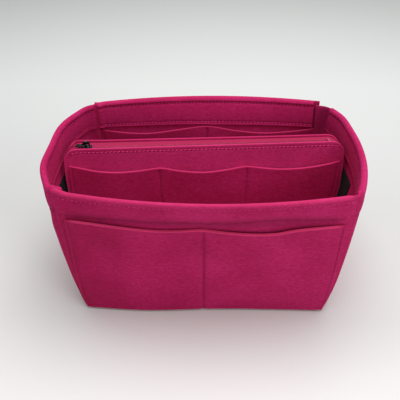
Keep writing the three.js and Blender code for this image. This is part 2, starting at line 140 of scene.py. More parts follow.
def panelHalf(z):
    r = share(z)
    swell = walls["swell"] * np.sin(np.pi * r ** walls["swellSharpness"])
    return mix(walls["baseWidth"], walls["rimWidth"], r) / 2 + swell


def cornerHalf(z):
    return mix(walls["baseDepth"], walls["rimDepth"], share(z)) / 2


def frontAt(wall, x, z):  # a front wall's outer face: point, direction along it, direction inwards
    r, half = share(z), panelHalf(z)
    bow = walls["bow"] * (np.maximum(z, 0) / (height + wall["rise"])) ** walls["bowSharpness"]
    twist = wall["twist"] * r**2
    s = x / half
    along = unit(np.stack([np.ones_like(s), (2 * bow * s + twist) / half], -1))
    across, up = walls["slackWaves"]
    slack = walls["slack"] * np.sin(np.pi * r) * np.sin(across * s + up * r) * (1 - s**2)
    foot = wall["footBow"] * (1 - r) ** walls["footBowSharpness"] * dent(s, *walls["footBowAt"])
    point = np.stack([x + 0 * z, twist * s - cornerHalf(z) - bow * (1 - s * s) + slack - foot], -1)
    return point, along, turnedIn(along)


def atEnd(pair, side):
    return pair[0 if side < 0 else 1]


def behindEnd(wall, side, z, zone):  # how far in a side wall runs behind an end of a front wall
    return (felt + gap + atEnd(wall["stacks"], side) * ease(*zone, z))[..., None]


def cornerAt(wall, side, z):
    point, along, inward = frontAt(wall, side * panelHalf(z), z)
    wrap = mix(walls["baseWrap"], atEnd(wall["wraps"], side), share(z))
    return point + inward * behindEnd(wall, side, z, foldZone) + along * (side * wrap)[..., None]


def lapEnd(wall, side, rimLap, z):
    lap = mix(walls["lap"], rimLap, ease(*foldZone, z))
    point, along, inward = frontAt(wall, side * (panelHalf(z) - lap), z)
    return point + inward * behindEnd(wall, side, z, lapZone)


def sideAt(wall, t, z):  # a side wall's outer face, t from -1 to 1 between its corners
    front, back = cornerAt(wall["from"], 1, z), -cornerAt(wall["to"], -1, z)
    bulge = wall["bulge"] * (1 - (1 - share(z)) ** walls["bulgeFullness"]) * (1 - t * t)
    low = ease(*walls["footSwellRise"], z) * (1 - ease(*walls["footSwellFade"], z))
    for swells, strength in ((wall["swells"], share(z) ** 2), (wall["footSwells"], low)):
        for centre, width, amount in swells:
            bulge = bulge + amount * dent(t, centre, width) * (1 - t**4) * strength
    return mix(front, back, ((t + 1) / 2)[..., None]) + np.stack([bulge, 0 * t], -1)


def panelPath(wall, at):  # at runs from 0 to 1 along the wall
    def pathAt(z):
        x = (2 * at - 1)[:, None] * panelHalf(z)[None]
        point, along, inward = frontAt(wall, x, np.broadcast_to(z, x.shape))
        return point, inward

    return pathAt


def sidePath(wall):  # lap, round corner, side, round corner, lap
    def cornerRun(lap, corner, onward, turn):
        start = corner - unit(corner - lap) * turn[:, None]
        straight = mix(lap[None], start[None], np.linspace(0, 1, sideSteps["lap"])[:-1, None, None])
        t = np.linspace(0, 1, sideSteps["corner"])[:-1, None, None]
        return np.concatenate([straight, start * (1 - t) ** 2 + 2 * corner * t * (1 - t) + onward * t * t])

    def pathAt(z):
        turns = [mix(walls["baseRound"], r, share(z)) for r in wall["rounds"]]
        first, last = (1 - turn / cornerHalf(z) for turn in turns)
        t = mix(-first[None], last[None], np.linspace(0, 1, sideSteps["side"])[:, None])
        arc = sideAt(wall, t, np.broadcast_to(z, t.shape))
        laps = lapEnd(wall["from"], 1, wall["laps"][0], z), -lapEnd(wall["to"], -1, wall["laps"][1], z)
        front = cornerRun(laps[0], cornerAt(wall["from"], 1, z), arc[0], turns[0])
        back = cornerRun(laps[1], -cornerAt(wall["to"], -1, z), arc[-1], turns[1])[::-1]
        points = np.concatenate([front, arc, back])
        return points, turnedIn(unit(np.gradient(points, axis=0)))

    return pathAt


def asIs(points, direction=False):
    return points


def halfRound(points, direction=False):  # the back of the basket is the front turned half round
    return points * np.array([-1.0, -1.0, 1.0])


# painted light and shade: some cuts of felt are drawn lighter where light falls on them and darker where
# shade falls, at the left end and past the middle
paintedLightByPiece = {
    "rightWall": (0.0, 0.045), "pouchFrontPanel": (0.147, 0.147), "pouchPocket": (-0.02, -0.02),
    "innerPocket": (-0.11, -0.11), "frontWall": (-0.1, 0.03), "frontPocket": (-0.09, 0.0),
}
paintedLightTurn = (-105, -15)  # where the one goes over into the other
underShift = 400.0  # keeps the patterns on a sheet's two faces apart


def addPiece(name, node, mesh, body, material=None):
    piece = bpy.data.objects.new(name, mesh)
    # painted light and shade on the cuts that have it
    if name in paintedLightByPiece:
        x = np.array([vertex.co.x for vertex in mesh.vertices]) / mm
        markPoints(mesh, "nap", mix(*paintedLightByPiece[name], ease(*paintedLightTurn, x)))
    bpy.context.scene.collection.objects.link(piece)
    if material:
        mesh.materials.append(material)
    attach(piece, body)
    if node:
        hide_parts(node)
    return piece


def markPoints(mesh, label, values):
    mark = mesh.attributes.new(label, "FLOAT", "POINT")
    mark.data.foreach_set("value", np.asarray(values, np.float32).ravel())


def makeMesh(name, points, faces, uv=None, marks=None):
    mesh = bpy.data.meshes.new(name)
    mesh.from_pydata((np.asarray(points) * mm).tolist(), [], faces)
    if uv is not None:
        layer = mesh.uv_layers.new(name="surface")
        corners = np.zeros(len(mesh.loops), int)
        mesh.loops.foreach_get("vertex_index", corners)
        layer.data.foreach_set("uv", (np.asarray(uv)[corners] * mm).ravel())
    for label, values in (marks or {}).items():
        markPoints(mesh, label, values)
    mesh.shade_smooth()
    mesh.validate()
    mesh.update()
    return mesh


def gridNormals(grid):
    return unit(np.cross(np.gradient(grid, axis=0), np.gradient(grid, axis=1)))


def gridDistances(grid):  # how far each point lies along the sheet, and from its nearest cut edge
    def runs(axis):
        steps = np.linalg.norm(np.diff(grid, axis=axis), axis=-1)
        first = np.zeros_like(np.take(steps, [0], axis))
        return np.concatenate([first, np.cumsum(steps, axis)], axis)

    across, up = runs(0), runs(1)
    edge = np.minimum(np.minimum(across, across[-1:] - across), np.minimum(up, up[:, -1:] - up))
    return across, up, edge


def quads(a, b, c, d):
    return np.stack([a, b, c, d], -1).reshape(-1, 4)


def gridFaces(index):
    return quads(index[:-1, :-1], index[1:, :-1], index[1:, 1:], index[:-1, 1:])


def sheetMesh(name, middle, thick, blunt=0.8, roundness=0.5, edgeReach=1.4, crease=None, edge=None, worn=1.0):
    # a sheet round its middle surface, with cut edges a little rounded and a painted highlight along them
    n, m = middle.shape[:2]
    across, up, nearest = gridDistances(middle)
    edge = nearest if edge is None else edge
    half = thick / 2 * mix(blunt, 1, quarterRound(edge, roundness))
    lift = gridNormals(middle) * half[..., None]
    points = np.concatenate([(middle + lift).reshape(-1, 3), (middle - lift).reshape(-1, 3)])
    index = np.arange(n * m).reshape(n, m)
    under = index + n * m
    faces = [
        gridFaces(index), gridFaces(under)[:, [0, 3, 2, 1]],
        quads(index[0, :-1], index[0, 1:], under[0, 1:], under[0, :-1]),
        quads(index[-1, :-1], under[-1, :-1], under[-1, 1:], index[-1, 1:]),
        quads(index[:-1, 0], under[:-1, 0], under[1:, 0], index[1:, 0]),
        quads(index[:-1, -1], index[1:, -1], under[1:, -1], under[:-1, -1]),
    ]
    uv = np.stack([across, up], -1).reshape(-1, 2)
    mark = (worn * (1 - ease(0.2 * edgeReach, edgeReach, edge))).ravel()
    marks = {"edgeHighlight": np.concatenate([mark, mark])}
    if crease is not None:
        marks["crease"] = np.concatenate([crease.ravel(), np.zeros(n * m)])
    bothFaces = np.concatenate([uv, uv + underShift])
    return makeMesh(name, points, np.concatenate(faces).tolist(), bothFaces, marks)


# node helpers, for materials and for the trees that repeat small strands
def feed(tree, socket, value):  # a link from another node, or a plain value
    if isinstance(value, bpy.types.NodeSocket):
        tree.links.new(value, socket)
    else:
        socket.default_value = value


def addNode(tree, kind, **inputs):  # an input's name has no spaces here
    node = tree.nodes.new(kind)
    for socket in node.inputs:
        label = socket.name.replace(" ", "")
        if label in inputs:
            feed(tree, socket, inputs.pop(label))
    return node


def mathNode(tree, operation, *values):
    node = tree.nodes.new("ShaderNodeMath")
    node.operation = operation
    for socket, value in zip(node.inputs, values):
        feed(tree, socket, value)
    return node.outputs["Value"]


def times(tree, value, factor):
    return mathNode(tree, "MULTIPLY", value, factor)


def blendOf(tree, *parts):  # sum of (value, weight) pairs
    total = times(tree, *parts[0])
    for part in parts[1:]:
        total = mathNode(tree, "ADD", total, times(tree, *part))
    return total


def newMaterial(name):
    material = bpy.data.materials.new(name)
    material.use_nodes = True
    tree = material.node_tree
    coords = tree.nodes.new("ShaderNodeTexCoord").outputs
    return material, tree, tree.nodes["Principled BSDF"], coords["UV"], coords["Object"]


def noiseNode(tree, vector, scale, detail=4.0, roughness=0.6, stretch=(1, 1, 1), distortion=0.0):
    mapping = addNode(tree, "ShaderNodeMapping", Vector=vector, Scale=stretch)
    noise = addNode(tree, "ShaderNodeTexNoise", Vector=mapping.outputs["Vector"], Scale=scale, Detail=detail,
                    Roughness=roughness, Distortion=distortion)
    return noise.outputs["Fac"]


def rampNode(tree, value, *colours):
    ramp = addNode(tree, "ShaderNodeValToRGB", Fac=value)
    elements = ramp.color_ramp.elements
    for stop, (position, colour) in zip(elements, (colours[0], colours[-1])):
        stop.position, stop.color = position, (*colour, 1)
    for position, colour in colours[1:-1]:
        elements.new(position).color = (*colour, 1)
    return ramp.outputs["Color"]


def markNode(tree, label):
    node = tree.nodes.new("ShaderNodeAttribute")
    node.attribute_name = label
    return node.outputs["Fac"]


def mixColour(tree, amount, a, b):
    node = tree.nodes.new("ShaderNodeMix")
    node.data_type = "RGBA"
    for label, value in (("Factor", amount), ("A", a), ("B", b)):
        feed(tree, node.inputs[label], (*value, 1) if isinstance(value, tuple) else value)
    return node.outputs["Result"]


def finishShader(tree, shader, colour, roughness, specular=0.5, sheen=0.0, bumps=()):
    # bumps are layers of (height, strength, distance in metres)
    for label, value in (("Base Color", colour), ("Roughness", roughness), ("Specular IOR Level", specular),
                         ("Sheen Weight", sheen)):
        feed(tree, shader.inputs[label], value)
    normal = None
    for bumped, strength, distance in bumps:
        bump = addNode(tree, "ShaderNodeBump", Strength=strength, Distance=distance, Height=bumped)
        if normal:
            tree.links.new(normal, bump.inputs["Normal"])
        normal = bump.outputs["Normal"]
    if normal:
        tree.links.new(normal, shader.inputs["Normal"])


# cut is the colour of the painted highlight on cut edges and the fold, and the two show numbers say how
# strongly the painted highlight and the painted shade are laid on
feltLook = {
    "tones": [(0.3, (0.335, 0.0065, 0.062)), (0.4, (0.415, 0.0092, 0.083)), (0.5, (0.495, 0.0137, 0.113)),
              (0.61, (0.585, 0.024, 0.154)), (0.72, (0.69, 0.034, 0.19))],
    "cut": (0.9, 0.065, 0.22), "cutShow": 0.35, "creaseShow": 0.62, "roughness": 0.88, "sheen": 0.05,
    "sheenTint": (1.0, 0.25, 0.48, 1), "fibre": 2200.0, "brush": 460.0, "press": 120.0, "cloud": 22.0,
}


def feltMaterial():
    look = feltLook
    material, tree, shader, flat, space = newMaterial("hotPinkFelt")
    fibres = noiseNode(tree, flat, look["fibre"], 3, 0.65, (0.55, 1, 1), 0.4)
    brushed = noiseNode(tree, flat, look["brush"], 5, 0.66, (0.5, 1, 1), 0.8)
    pressed = noiseNode(tree, flat, look["press"], 3, 0.5, (0.55, 1, 1), 0.3)
    cloudy = noiseNode(tree, space, look["cloud"], 2, 0.5)
    tone = blendOf(tree, (brushed, 0.5), (cloudy, 0.28), (fibres, 0.22))
    # the painted light and shade of each cut shifts the felt's tone
    colour = rampNode(tree, mathNode(tree, "ADD", tone, markNode(tree, "nap")), *look["tones"])
    # painted highlight on cut edges and the fold, then painted shade at creases and under the hems
    edged = mixColour(tree, times(tree, markNode(tree, "edgeHighlight"), look["cutShow"]), colour, look["cut"])
    drawnIn = times(tree, markNode(tree, "crease"), look["creaseShow"])
    shaded = mixColour(tree, drawnIn, edged, (0.0, 0.0, 0.0))
    rough = mathNode(tree, "MULTIPLY_ADD", fibres, 0.1, look["roughness"])
    finishShader(tree, shader, shaded, rough, 0.12, look["sheen"],
                 [(pressed, 0.35, 0.0006), (brushed, 0.45, 0.00035), (fibres, 0.6, 0.00016)])
    shader.inputs["Sheen Roughness"].default_value = 0.45
    shader.inputs["Sheen Tint"].default_value = look["sheenTint"]
    return material


# hole is the colour of the painted shade in the needle holes, paler towards their edges
threadLook = {
    "colour": (0.88, 0.065, 0.29), "shade": (0.66, 0.03, 0.17), "hole": (0.1, 0.003, 0.02), "holeEdge": 2.4,
}


def threadMaterial():
    material, tree, shader, flat, space = newMaterial("pinkThread")
    twist = noiseNode(tree, space, 1800.0, 2, 0.5)
    colour = rampNode(tree, twist, (0.35, threadLook["shade"]), (0.6, threadLook["colour"]))
    finishShader(tree, shader, colour, 0.7, 0.15, 0.0, [(twist, 0.4, 0.0001)])
    return material


# dark dimples that stand for the shade inside the needle holes
def holeShadeMaterial():
    material, tree, shader, flat, space = newMaterial("needleHoleShade")
    fuzz = noiseNode(tree, space, 2400.0, 2, 0.5)
    deep = threadLook["hole"]
    paler = tuple(threadLook["holeEdge"] * c for c in deep)
    finishShader(tree, shader, rampNode(tree, fuzz, (0.3, deep), (0.7, paler)), 1.0, 0.0)
    return material


# the darkest colour is painted shade beside the coil and at the panel
webbingLook = {
    "dark": (0.335, 0.012, 0.065), "light": (0.455, 0.021, 0.095), "seam": (0.05, 0.001, 0.009),
    "rib": 1500.0,
}


def webbingMaterial():
    look = webbingLook
    material, tree, shader, flat, space = newMaterial("pinkZipWebbing")

    def ribs(direction):
        wave = addNode(tree, "ShaderNodeTexWave", Vector=flat, Scale=look["rib"] / 6.283, Distortion=0.6)
        wave.bands_direction = direction
        return wave.outputs["Fac"]

    weave = mathNode(tree, "MULTIPLY", ribs("X"), ribs("Y"))
    tone = blendOf(tree, (weave, 0.5), (noiseNode(tree, flat, 700.0, 3, 0.6), 0.6))
    woven = rampNode(tree, tone, (0.2, look["dark"]), (0.62, look["light"]))
    # painted shade at the seams beside the coil and at the panel
    sewn = mixColour(tree, times(tree, markNode(tree, "crease"), 0.75), woven, look["seam"])
    finishShader(tree, shader, sewn, 0.75, 0.12, 0.02, [(weave, 0.6, 0.00012)])
    return material


nylonLook = [(0.3, (0.36, 0.0095, 0.065)), (0.7, (0.5, 0.023, 0.105))]


def nylonMaterial():
    material, tree, shader, flat, space = newMaterial("pinkNylonCoil")
    cloud = noiseNode(tree, space, 300.0, 3, 0.5)
    finishShader(tree, shader, rampNode(tree, cloud, *nylonLook), times(tree, cloud, 0.7))
    return material


tapeLook = [(0.15, (0.0025, 0.0025, 0.003)), (0.5, (0.012, 0.0115, 0.0125))]


def blackTapeMaterial():
    material, tree, shader, flat, space = newMaterial("blackHookAndLoop")
    pile, lint = noiseNode(tree, space, 1400.0, 4, 0.7), noiseNode(tree, space, 260.0, 3, 0.6)
    colour = rampNode(tree, mathNode(tree, "MULTIPLY", pile, lint), *tapeLook)
    finishShader(tree, shader, colour, 0.85, 0.2, 0.04, [(lint, 0.4, 0.0004), (pile, 0.7, 0.0002)])
    return material


metalLook = [(0.4, (0.006, 0.005, 0.006)), (0.6, (0.013, 0.012, 0.0135)), (0.72, (0.24, 0.235, 0.24))]


def gunmetalMaterial():
    material, tree, shader, flat, space = newMaterial("darkGunmetal")
    grain, worn = noiseNode(tree, space, 900.0, 4, 0.6, (1, 4, 1)), noiseNode(tree, space, 420.0, 3, 0.6)
    rough = mathNode(tree, "MULTIPLY_ADD", grain, 0.25, 0.16)
    finishShader(tree, shader, rampNode(tree, worn, *metalLook), rough, bumps=[(grain, 0.15, 0.0001)])
    shader.inputs["Metallic"].default_value = 1.0
    return material


pinkFelt, pinkThread, holeShade = feltMaterial(), threadMaterial(), holeShadeMaterial()
pinkWebbing, pinkNylon = webbingMaterial(), nylonMaterial()
blackTape, gunmetal = blackTapeMaterial(), gunmetalMaterial()
print("felt and thread ready")


# basket walls: one felt sheet each, its rim folded in as a hem and sewn down with two rows of stitches
hem = {
    "drop": 28.5, "upperRow": 5.8, "lowerRow": 25.0, "foldRadius": 4.2, "bead": 0.9, "outerBead": 0.15,
    "puff": 0.55, "groove": 0.75, "outerGroove": 0.3, "grooveWidth": 1.5, "thinRun": 13.0,
    "overRun": (4.2, 11.0), "rawStart": 0.12, "rawRise": 0.57, "outerHoles": 0.35,
}
hemFoot = height - hem["drop"]
# painted shade at the rows and under the hem, and a painted highlight on the wall's edges and fold
wallShade = {
    "lowerRow": (0.5, 1.9), "upperRow": (0.1, 0.8), "mouthZone": (126, 134), "mouthLeast": 0.25,
    "aboveRow": (0.75, 9), "from": (85, 100), "endClear": (6, 20), "endWorn": (0.4, 1.6),
    "rawWorn": (0.1, 0.5), "footWorn": 1.4,
}
stitchRows = {"basket": [], "pouch": []}  # rows of (points, outward directions, stitch size, hole size)


def wallLevels(top):
    low = [0, 0.1, 0.35, 0.9, 2, 3.2, 4.5, *np.arange(7, hemFoot - 2, 3.2), hemFoot - 1.6, hemFoot - 0.7]
    raw = hemFoot + np.array([-0.12, -0.08, -0.03, 0.04, 0.16, 0.45])
    return np.concatenate([low, raw, np.arange(hemFoot + 1.0, top - 0.3, 0.8), [top]])


def fromEnds(alongAt):
    return alongAt, alongAt[-1] - alongAt


def overEnds(alongAt, ends, amount):  # what a wall's two ends add at each station
    return sum(amount(end, away) for away, end in zip(fromEnds(alongAt), ends))[:, None]


def hemShare(end, away):
    return quarterRound(away - end["gap"], end["round"])


def lowerRowAt(wall, alongAt):
    return height - hem["lowerRow"] + curveThrough(wall["hemWave"], 2 * alongAt / alongAt[-1] - 1)


def wallMarks(wall, z, fold, rows, hemmed, recess, away):  # painted highlight on cut edges and the fold, painted shade at creases and under the hem
    shade, (upper, lower) = wallShade, rows
    heights = np.concatenate([z, z[-2::-1]])
    inFace = np.arange(len(heights)) >= len(z)
    # painted highlight on the wall's ends, its fold, the hem's raw edge and its foot
    worn, reach = shade["endWorn"]
    edge = worn * np.exp(-away / reach) * np.ones((1, len(heights)))
    foldHighlight = wall["worn"] * ease(fold, fold + 0.8 * hem["foldRadius"], heights)
    raw = dent(heights, hemFoot + shade["rawWorn"][0], shade["rawWorn"][1]) * inFace * hemmed
    edge = np.maximum(np.maximum(edge, foldHighlight), np.maximum(raw, np.exp(-heights / shade["footWorn"])))
    (deep, width), (slight, narrow), (above, run) = shade["lowerRow"], shade["upperRow"], shade["aboveRow"]
    # painted shade at the rows, under the hem and down to the pockets' mouths
    drawn = (deep - 0.6 * wall["mouth"]) * dent(heights, lower, width) + slight * dent(heights, upper, narrow)
    under = mix(shade["mouthLeast"], 1.0, ease(*shade["mouthZone"], heights))
    sheltered = np.where(heights < lower, under, above * (1 - ease(lower, lower + run, heights)))
    drawn = drawn + wall["mouth"] * sheltered * ease(*shade["from"], heights) * ease(*shade["endClear"], away)
    # the painted shade shows outside under the hem, and inside on bare felt past a hem's end
    crease = hemmed * drawn * ~inFace + recess * ease(hemFoot - 25, hemFoot + 5, heights) * inFace
    return {"edgeHighlight": edge, "crease": crease}


def wallMesh(name, wall, pathAt, alongAt, ends, turn, drawnIn):
    # alongAt is each station's distance along the wall; ends say how the hem stops at its two ends
    rim = height + wall["rise"]
    radius, fold = hem["foldRadius"], rim - hem["foldRadius"]
    levels, turns = wallLevels(fold), np.linspace(0, math.pi / 2, 11)[1:]
    z = np.concatenate([levels, fold + radius * np.sin(turns)])
    points, inward = pathAt(z)
    hemmed = np.minimum(*(hemShare(end, away) for away, end in zip(fromEnds(alongAt), ends)))[:, None]
    over = overEnds(alongAt, ends, lambda end, away: end["over"] * (1 - ease(*hem["overRun"], away)))
    thin = overEnds(alongAt, ends, lambda end, away: end["thin"] * (1 - ease(0, hem["thinRun"], away)))
    dropped = overEnds(alongAt, ends, lambda end, away: end["drop"] * (1 - hemShare(end, away)))
    raised = overEnds(alongAt, ends, lambda end, away: end["lift"][0] * (1 - ease(0, end["lift"][1], away)))
    # painted shade on the bare felt past a hem's end
    recess = overEnds(alongAt, ends, lambda end, away: end["shade"] * (1 - hemShare(end, away)))
    depth = felt + (felt + over) * hemmed
    above = np.clip((z - hemFoot + hem["rawStart"]) / hem["rawRise"], 0, 1) ** 0.6
    upper, lower = rim - hem["upperRow"], lowerRowAt(wall, alongAt)[:, None]
    sunk = dent(z, upper, hem["grooveWidth"]) + 0.8 * dent(z, lower, hem["grooveWidth"])
    between = (z > lower) & (z < upper)
    puff = hem["puff"] * np.clip(np.sin(np.pi * (z - lower) / (upper - lower)), 0, 1) * between
    rolled = ease(upper + 0.3, fold - 0.2, z)
    swollenOut = hemmed * (puff + hem["outerBead"] * rolled - hem["outerGroove"] * sunk)
    swollenIn = hemmed * (puff + hem["bead"] * rolled - drawnIn * hem["groove"] * sunk)
    # share of the way across the thickness at the rounded bottom edge and at the fold
    cross = np.interp(z, [0, 0.1, 0.35, 0.9], [0.3, 0.12, 0.03, 0.0])
    folded = np.concatenate([np.zeros(len(levels)), turns])
    wrap, facing = (1 - np.cos(folded)) / 2, np.cos(folded)
    outer = depth * (cross + wrap) - swollenOut * facing + thin * facing
    inner = (felt + (depth - felt) * above) * (1 - cross) - depth * wrap + swollenIn * facing * (above > 0.99)
    away = np.minimum(*fromEnds(alongAt))[:, None]
    blunt = 0.4 * (1 - quarterRound(away, 0.8))
    lowered = z + (raised - dropped) * ease(hemFoot, height, z)

    def placed(offset):
        flat = points + inward * mix(offset, felt / 2, blunt)[..., None]
        return np.concatenate([flat, lowered[..., None]], -1)

    ring = np.concatenate([placed(outer), placed(inner)[:, -2::-1]], 1)
    n, m = ring.shape[:2]
    index = np.arange(n * m).reshape(n, m)
    following = np.roll(index, -1, 1)
    faces = quads(index[:-1], index[1:], following[1:], following[:-1]).tolist()
    for row, way in ((index[0], 1), (index[-1], -1)):
        for k in range(len(z) - 1):
            corners = [row[k], row[k + 1], row[m - 2 - k], row[m - 1 - k]]
            faces.append(list(dict.fromkeys(corners))[::way])
    steps = np.linalg.norm(np.diff(np.concatenate([ring, ring[:, :1]], 1), axis=1), axis=-1)
    runs = np.concatenate([np.zeros((n, 1)), np.cumsum(steps, 1)[:, :-1]], 1)
    uv = np.stack([np.broadcast_to(alongAt[:, None], (n, m)), runs], -1)
    marks = wallMarks(wall, z, fold, (upper, lower), hemmed, recess, away)
    return makeMesh(name, turn(ring.reshape(-1, 3)), faces, uv.reshape(-1, 2), marks)


def sewWall(wall, pathAt, alongAt, ends, turn, sizes, drawnIn):
    # two rows on the inner face; outside only the upper one shows, and the lower is drawn into a crease
    start, end = ends[0]["gap"] + 4.5, alongAt[-1] - ends[1]["gap"] - 1.5
    keep, each = (alongAt > start) & (alongAt < end), np.arange(len(alongAt))
    upper, lower = height + wall["rise"] - hem["upperRow"] + 0 * alongAt, lowerRowAt(wall, alongAt)
    deep = 2 * felt - drawnIn * hem["groove"]
    rows = (upper, hem["outerGroove"] - 0.1, -1), (upper, deep + 0.2, 1), (lower, deep + 0.35, 1)
    for (levels, offset, facing), size in zip(rows, sizes):
        points, inward = (part[each, each][keep] for part in pathAt(levels))
        row = np.concatenate([points + inward * offset, levels[keep, None]], 1)
        out = np.concatenate([facing * inward, np.zeros((len(row), 1))], 1)
        stitchRows["basket"].append((turn(row), turn(out), size, size if facing > 0 else hem["outerHoles"]))


# how each hem stops short of its wall's ends: how far, how much lower and how gently, how thin the felt gets,
# how far the hem lifts over a lap behind it, how far the rim rises to the end and how dark the painted shade
# lies on the bare felt
plainEnd = {"gap": 1.2, "drop": 0.0, "round": 1.2, "thin": 0.0, "over": 0.0, "lift": (0.0, 1.0), "shade": 0.0}
frontEnds = {**plainEnd, "lift": (2.8, 14.0)}, {**plainEnd, "gap": 4.3, "round": 6.0, "thin": 2.0}
backEnds = (
    {**plainEnd, "gap": 6.0, "drop": 0.4, "round": 1.4, "shade": 0.3},
    {**plainEnd, "gap": 0.4, "round": 7.0, "over": 2.9},
)
rightEnds = (
    {**plainEnd, "gap": 4.4, "drop": 1.2, "round": 5.0},
    {**plainEnd, "gap": 17.0, "drop": 1.9, "round": 3.0, "shade": 0.5},
)
leftEnds = {**plainEnd, "gap": 4.4, "round": 1.4, "lift": (1.7, 24.0)}, {**plainEnd, "gap": 0.6, "round": 3.0}
closeEnd = np.arange(2, 14, 0.35)  # stations where the hems end
panelAlong = np.unique(np.concatenate([stops(256, 1.25), closeEnd, 256 - closeEnd]))
alongLevel = np.array([138.0])  # height at which a side wall's length is measured
# flat size in metres, sizes of the stitches in its rows and how far they draw the hem in
panelCut = {"flat": (0.262, 0.193), "sizes": (0.8, 1.0, 0.9), "drawnIn": 1.0}
sideCut = {"flat": (0.19, 0.193), "sizes": (0.6, 0.6, 0.6), "drawnIn": 0.35}


def addWall(name, node, wall, ends, turn, cut):
    if cut is panelCut:
        alongAt = panelAlong
        pathAt = panelPath(wall, alongAt / alongAt[-1])
    else:
        pathAt = sidePath(wall)
        alongAt = distancesAt(pathAt(alongLevel)[0][:, 0])
    mesh = wallMesh(name, wall, pathAt, alongAt, ends, turn, cut["drawnIn"])
    piece = addPiece(name, node, mesh, "basket", pinkFelt)
    sewWall(wall, pathAt, alongAt, ends, turn, cut["sizes"], cut["drawnIn"])


addWall("frontWall", "front_panel", frontShape, frontEnds, asIs, panelCut)
addWall("backWall", "back_panel", backShape, backEnds, halfRound, panelCut)
addWall("rightWall", "right_side_panel", rightShape, rightEnds, asIs, sideCut)
addWall("leftWall", "left_side_panel", leftShape, leftEnds, halfRound, sideCut)
print("basket walls and hems ready")


# flat pockets: felt sheets sewn to a wall at their sides, bottom and dividers, open at the top
# each pocket's cut also says how dark the painted shade lies at its seams and how pale the painted highlight
# lies along its mouth
frontPocketCut = {
    "foot": 3.0, "tall": 128.0, "footInset": 2.5, "topInset": 8.5, "thick": 2.4, "sideSeam": 2.8,
    "footSeam": 4.5, "pinch": 0.6, "edgePinch": 0.3, "crease": 0.35, "worn": 2.2, "sag": 0.5,
    "dividers": [-1, -0.006, 1], "gape": [0.6, 1.5],
    "top": [(-1, 131.7), (-0.94, 131.4), (-0.81, 130.6), (-0.62, 128.5), (-0.46, 126.2), (-0.3, 124.8),
            (-0.13, 126.4), (-0.03, 128.2), (0.03, 127.6), (0.2, 124.9), (0.41, 123.2), (0.52, 124),
            (0.6, 126.5), (0.7, 128.5), (0.82, 129.4), (1, 130)],
}
backPocketCut = {
    **frontPocketCut, "gape": [3.0, 3.0],
    "top": [(-1, 129), (-0.75, 125), (-0.5, 123.5), (-0.25, 125.5), (-0.03, 129), (0.03, 129), (0.25, 125.5),
            (0.5, 123.5), (0.75, 125), (1, 129)],
}
innerPocketCut = {
    "foot": 2.9, "tall": 127.0, "footInset": 5.0, "topInset": 4.4, "thick": 2.3, "sideSeam": 2.8,
    "footSeam": 4.5, "pinch": 0.6, "edgePinch": 0.2, "crease": 0.35, "worn": 0.8, "sag": 0.4,
    "dividers": [-1, 0, 1], "gape": [3.2, 3.6],
    "top": [(-1, 131), (-0.8, 127.6), (-0.54, 125), (-0.28, 127), (-0.03, 130.7), (0.03, 130.7), (0.27, 128),
            (0.57, 124.8), (0.85, 127), (1, 130)],
}
# how wide the seams dent a pocket, where they begin below its mouth, and how pale the painted highlight lies
# along its mouth
pocketSeams = {
    "divider": 1.8, "edge": 1.0, "start": (0.5, 5), "mouth": (1.5, 4), "mouthEnds": (2, 10), "sideWorn": 0.35,
    "fullness": 1.15, "opening": 2.4, "sagWaves": (11, 3), "sunk": 0.15, "stitch": 0.45, "topClear": 6,
}
widthLevel = np.array(90.0)  # height at which a pocket's flat width is measured
seamWidth = 5  # felt below a pocket's bottom seam


def basketHalf(cut):  # half the width of a pocket on the basket
    return lambda z: panelHalf(z) - mix(cut["footInset"], cut["topInset"], z / height)


def offWall(wall, inner=False):  # places a point off a wall's outer or inner face
    def place(x, z, off):
        point, along, inward = frontAt(wall, x, z)
        return np.concatenate([point + inward * (felt + off if inner else -off)[..., None], z[..., None]], -1)

    return place


def addRow(body, turn, place, x, z, off, size):
    row = place(x, z, off)
    stitchRows[body].append((turn(row), turn(unit(place(x, z, off + 1) - row), True), size, size))


def pocketGrid(cut, halfAt, place):
    seams, width = pocketSeams, 2 * halfAt(widthLevel)
    edges = [cut["sideSeam"], width - cut["sideSeam"]]
    inner = [width * (s + 1) / 2 for s in cut["dividers"][1:-1]]
    across, rise = stops(width, 1.5, edges + inner), stops(cut["tall"], 1.5, [cut["footSeam"]])
    u, v = np.meshgrid(2 * across / width - 1, rise / cut["tall"], indexing="ij")
    z = mix(cut["foot"], curveThrough(cut["top"], u), v)
    below = cut["tall"] * (1 - v)
    begun = ease(*seams["start"], below)
    deep = np.max([dent(across, s, seams["divider"]) for s in inner], 0)[:, None] * begun
    ends = np.max([dent(across, s, seams["edge"]) for s in edges], 0)[:, None]
    light = np.maximum(ends, dent(rise, cut["footSeam"], seams["edge"])[None])
    room = np.zeros_like(u)
    for a, b, gape in zip(cut["dividers"], cut["dividers"][1:], cut["gape"]):
        part = np.clip((u - a) / (b - a), 0, 1)
        room += gape * (4 * part * (1 - part)) ** seams["fullness"]
    thick = cut["thick"] * (1 - np.maximum(cut["pinch"] * deep, cut["edgePinch"] * light))
    waves = np.sin(np.pi * v) * np.sin(seams["sagWaves"][0] * u + seams["sagWaves"][1] * v)
    loose = np.clip(cut["sag"] * (1 - np.maximum(deep, light)) * waves, -0.2, 1)
    off = gap + room * v ** seams["opening"] + thick / 2 + loose
    # painted shade at the dividers and side seams
    crease = cut["crease"] * np.maximum(deep**2, 0.7 * ends * begun)
    # painted highlight along the pocket's mouth, fainter down its sides
    fromSides = np.minimum(across, width - across)[:, None]
    mouth = (1 - ease(*seams["mouth"], below)) * ease(*seams["mouthEnds"], fromSides)
    return place(u * halfAt(z), z, off), thick, crease, mix(seams["sideWorn"], cut["worn"], mouth)


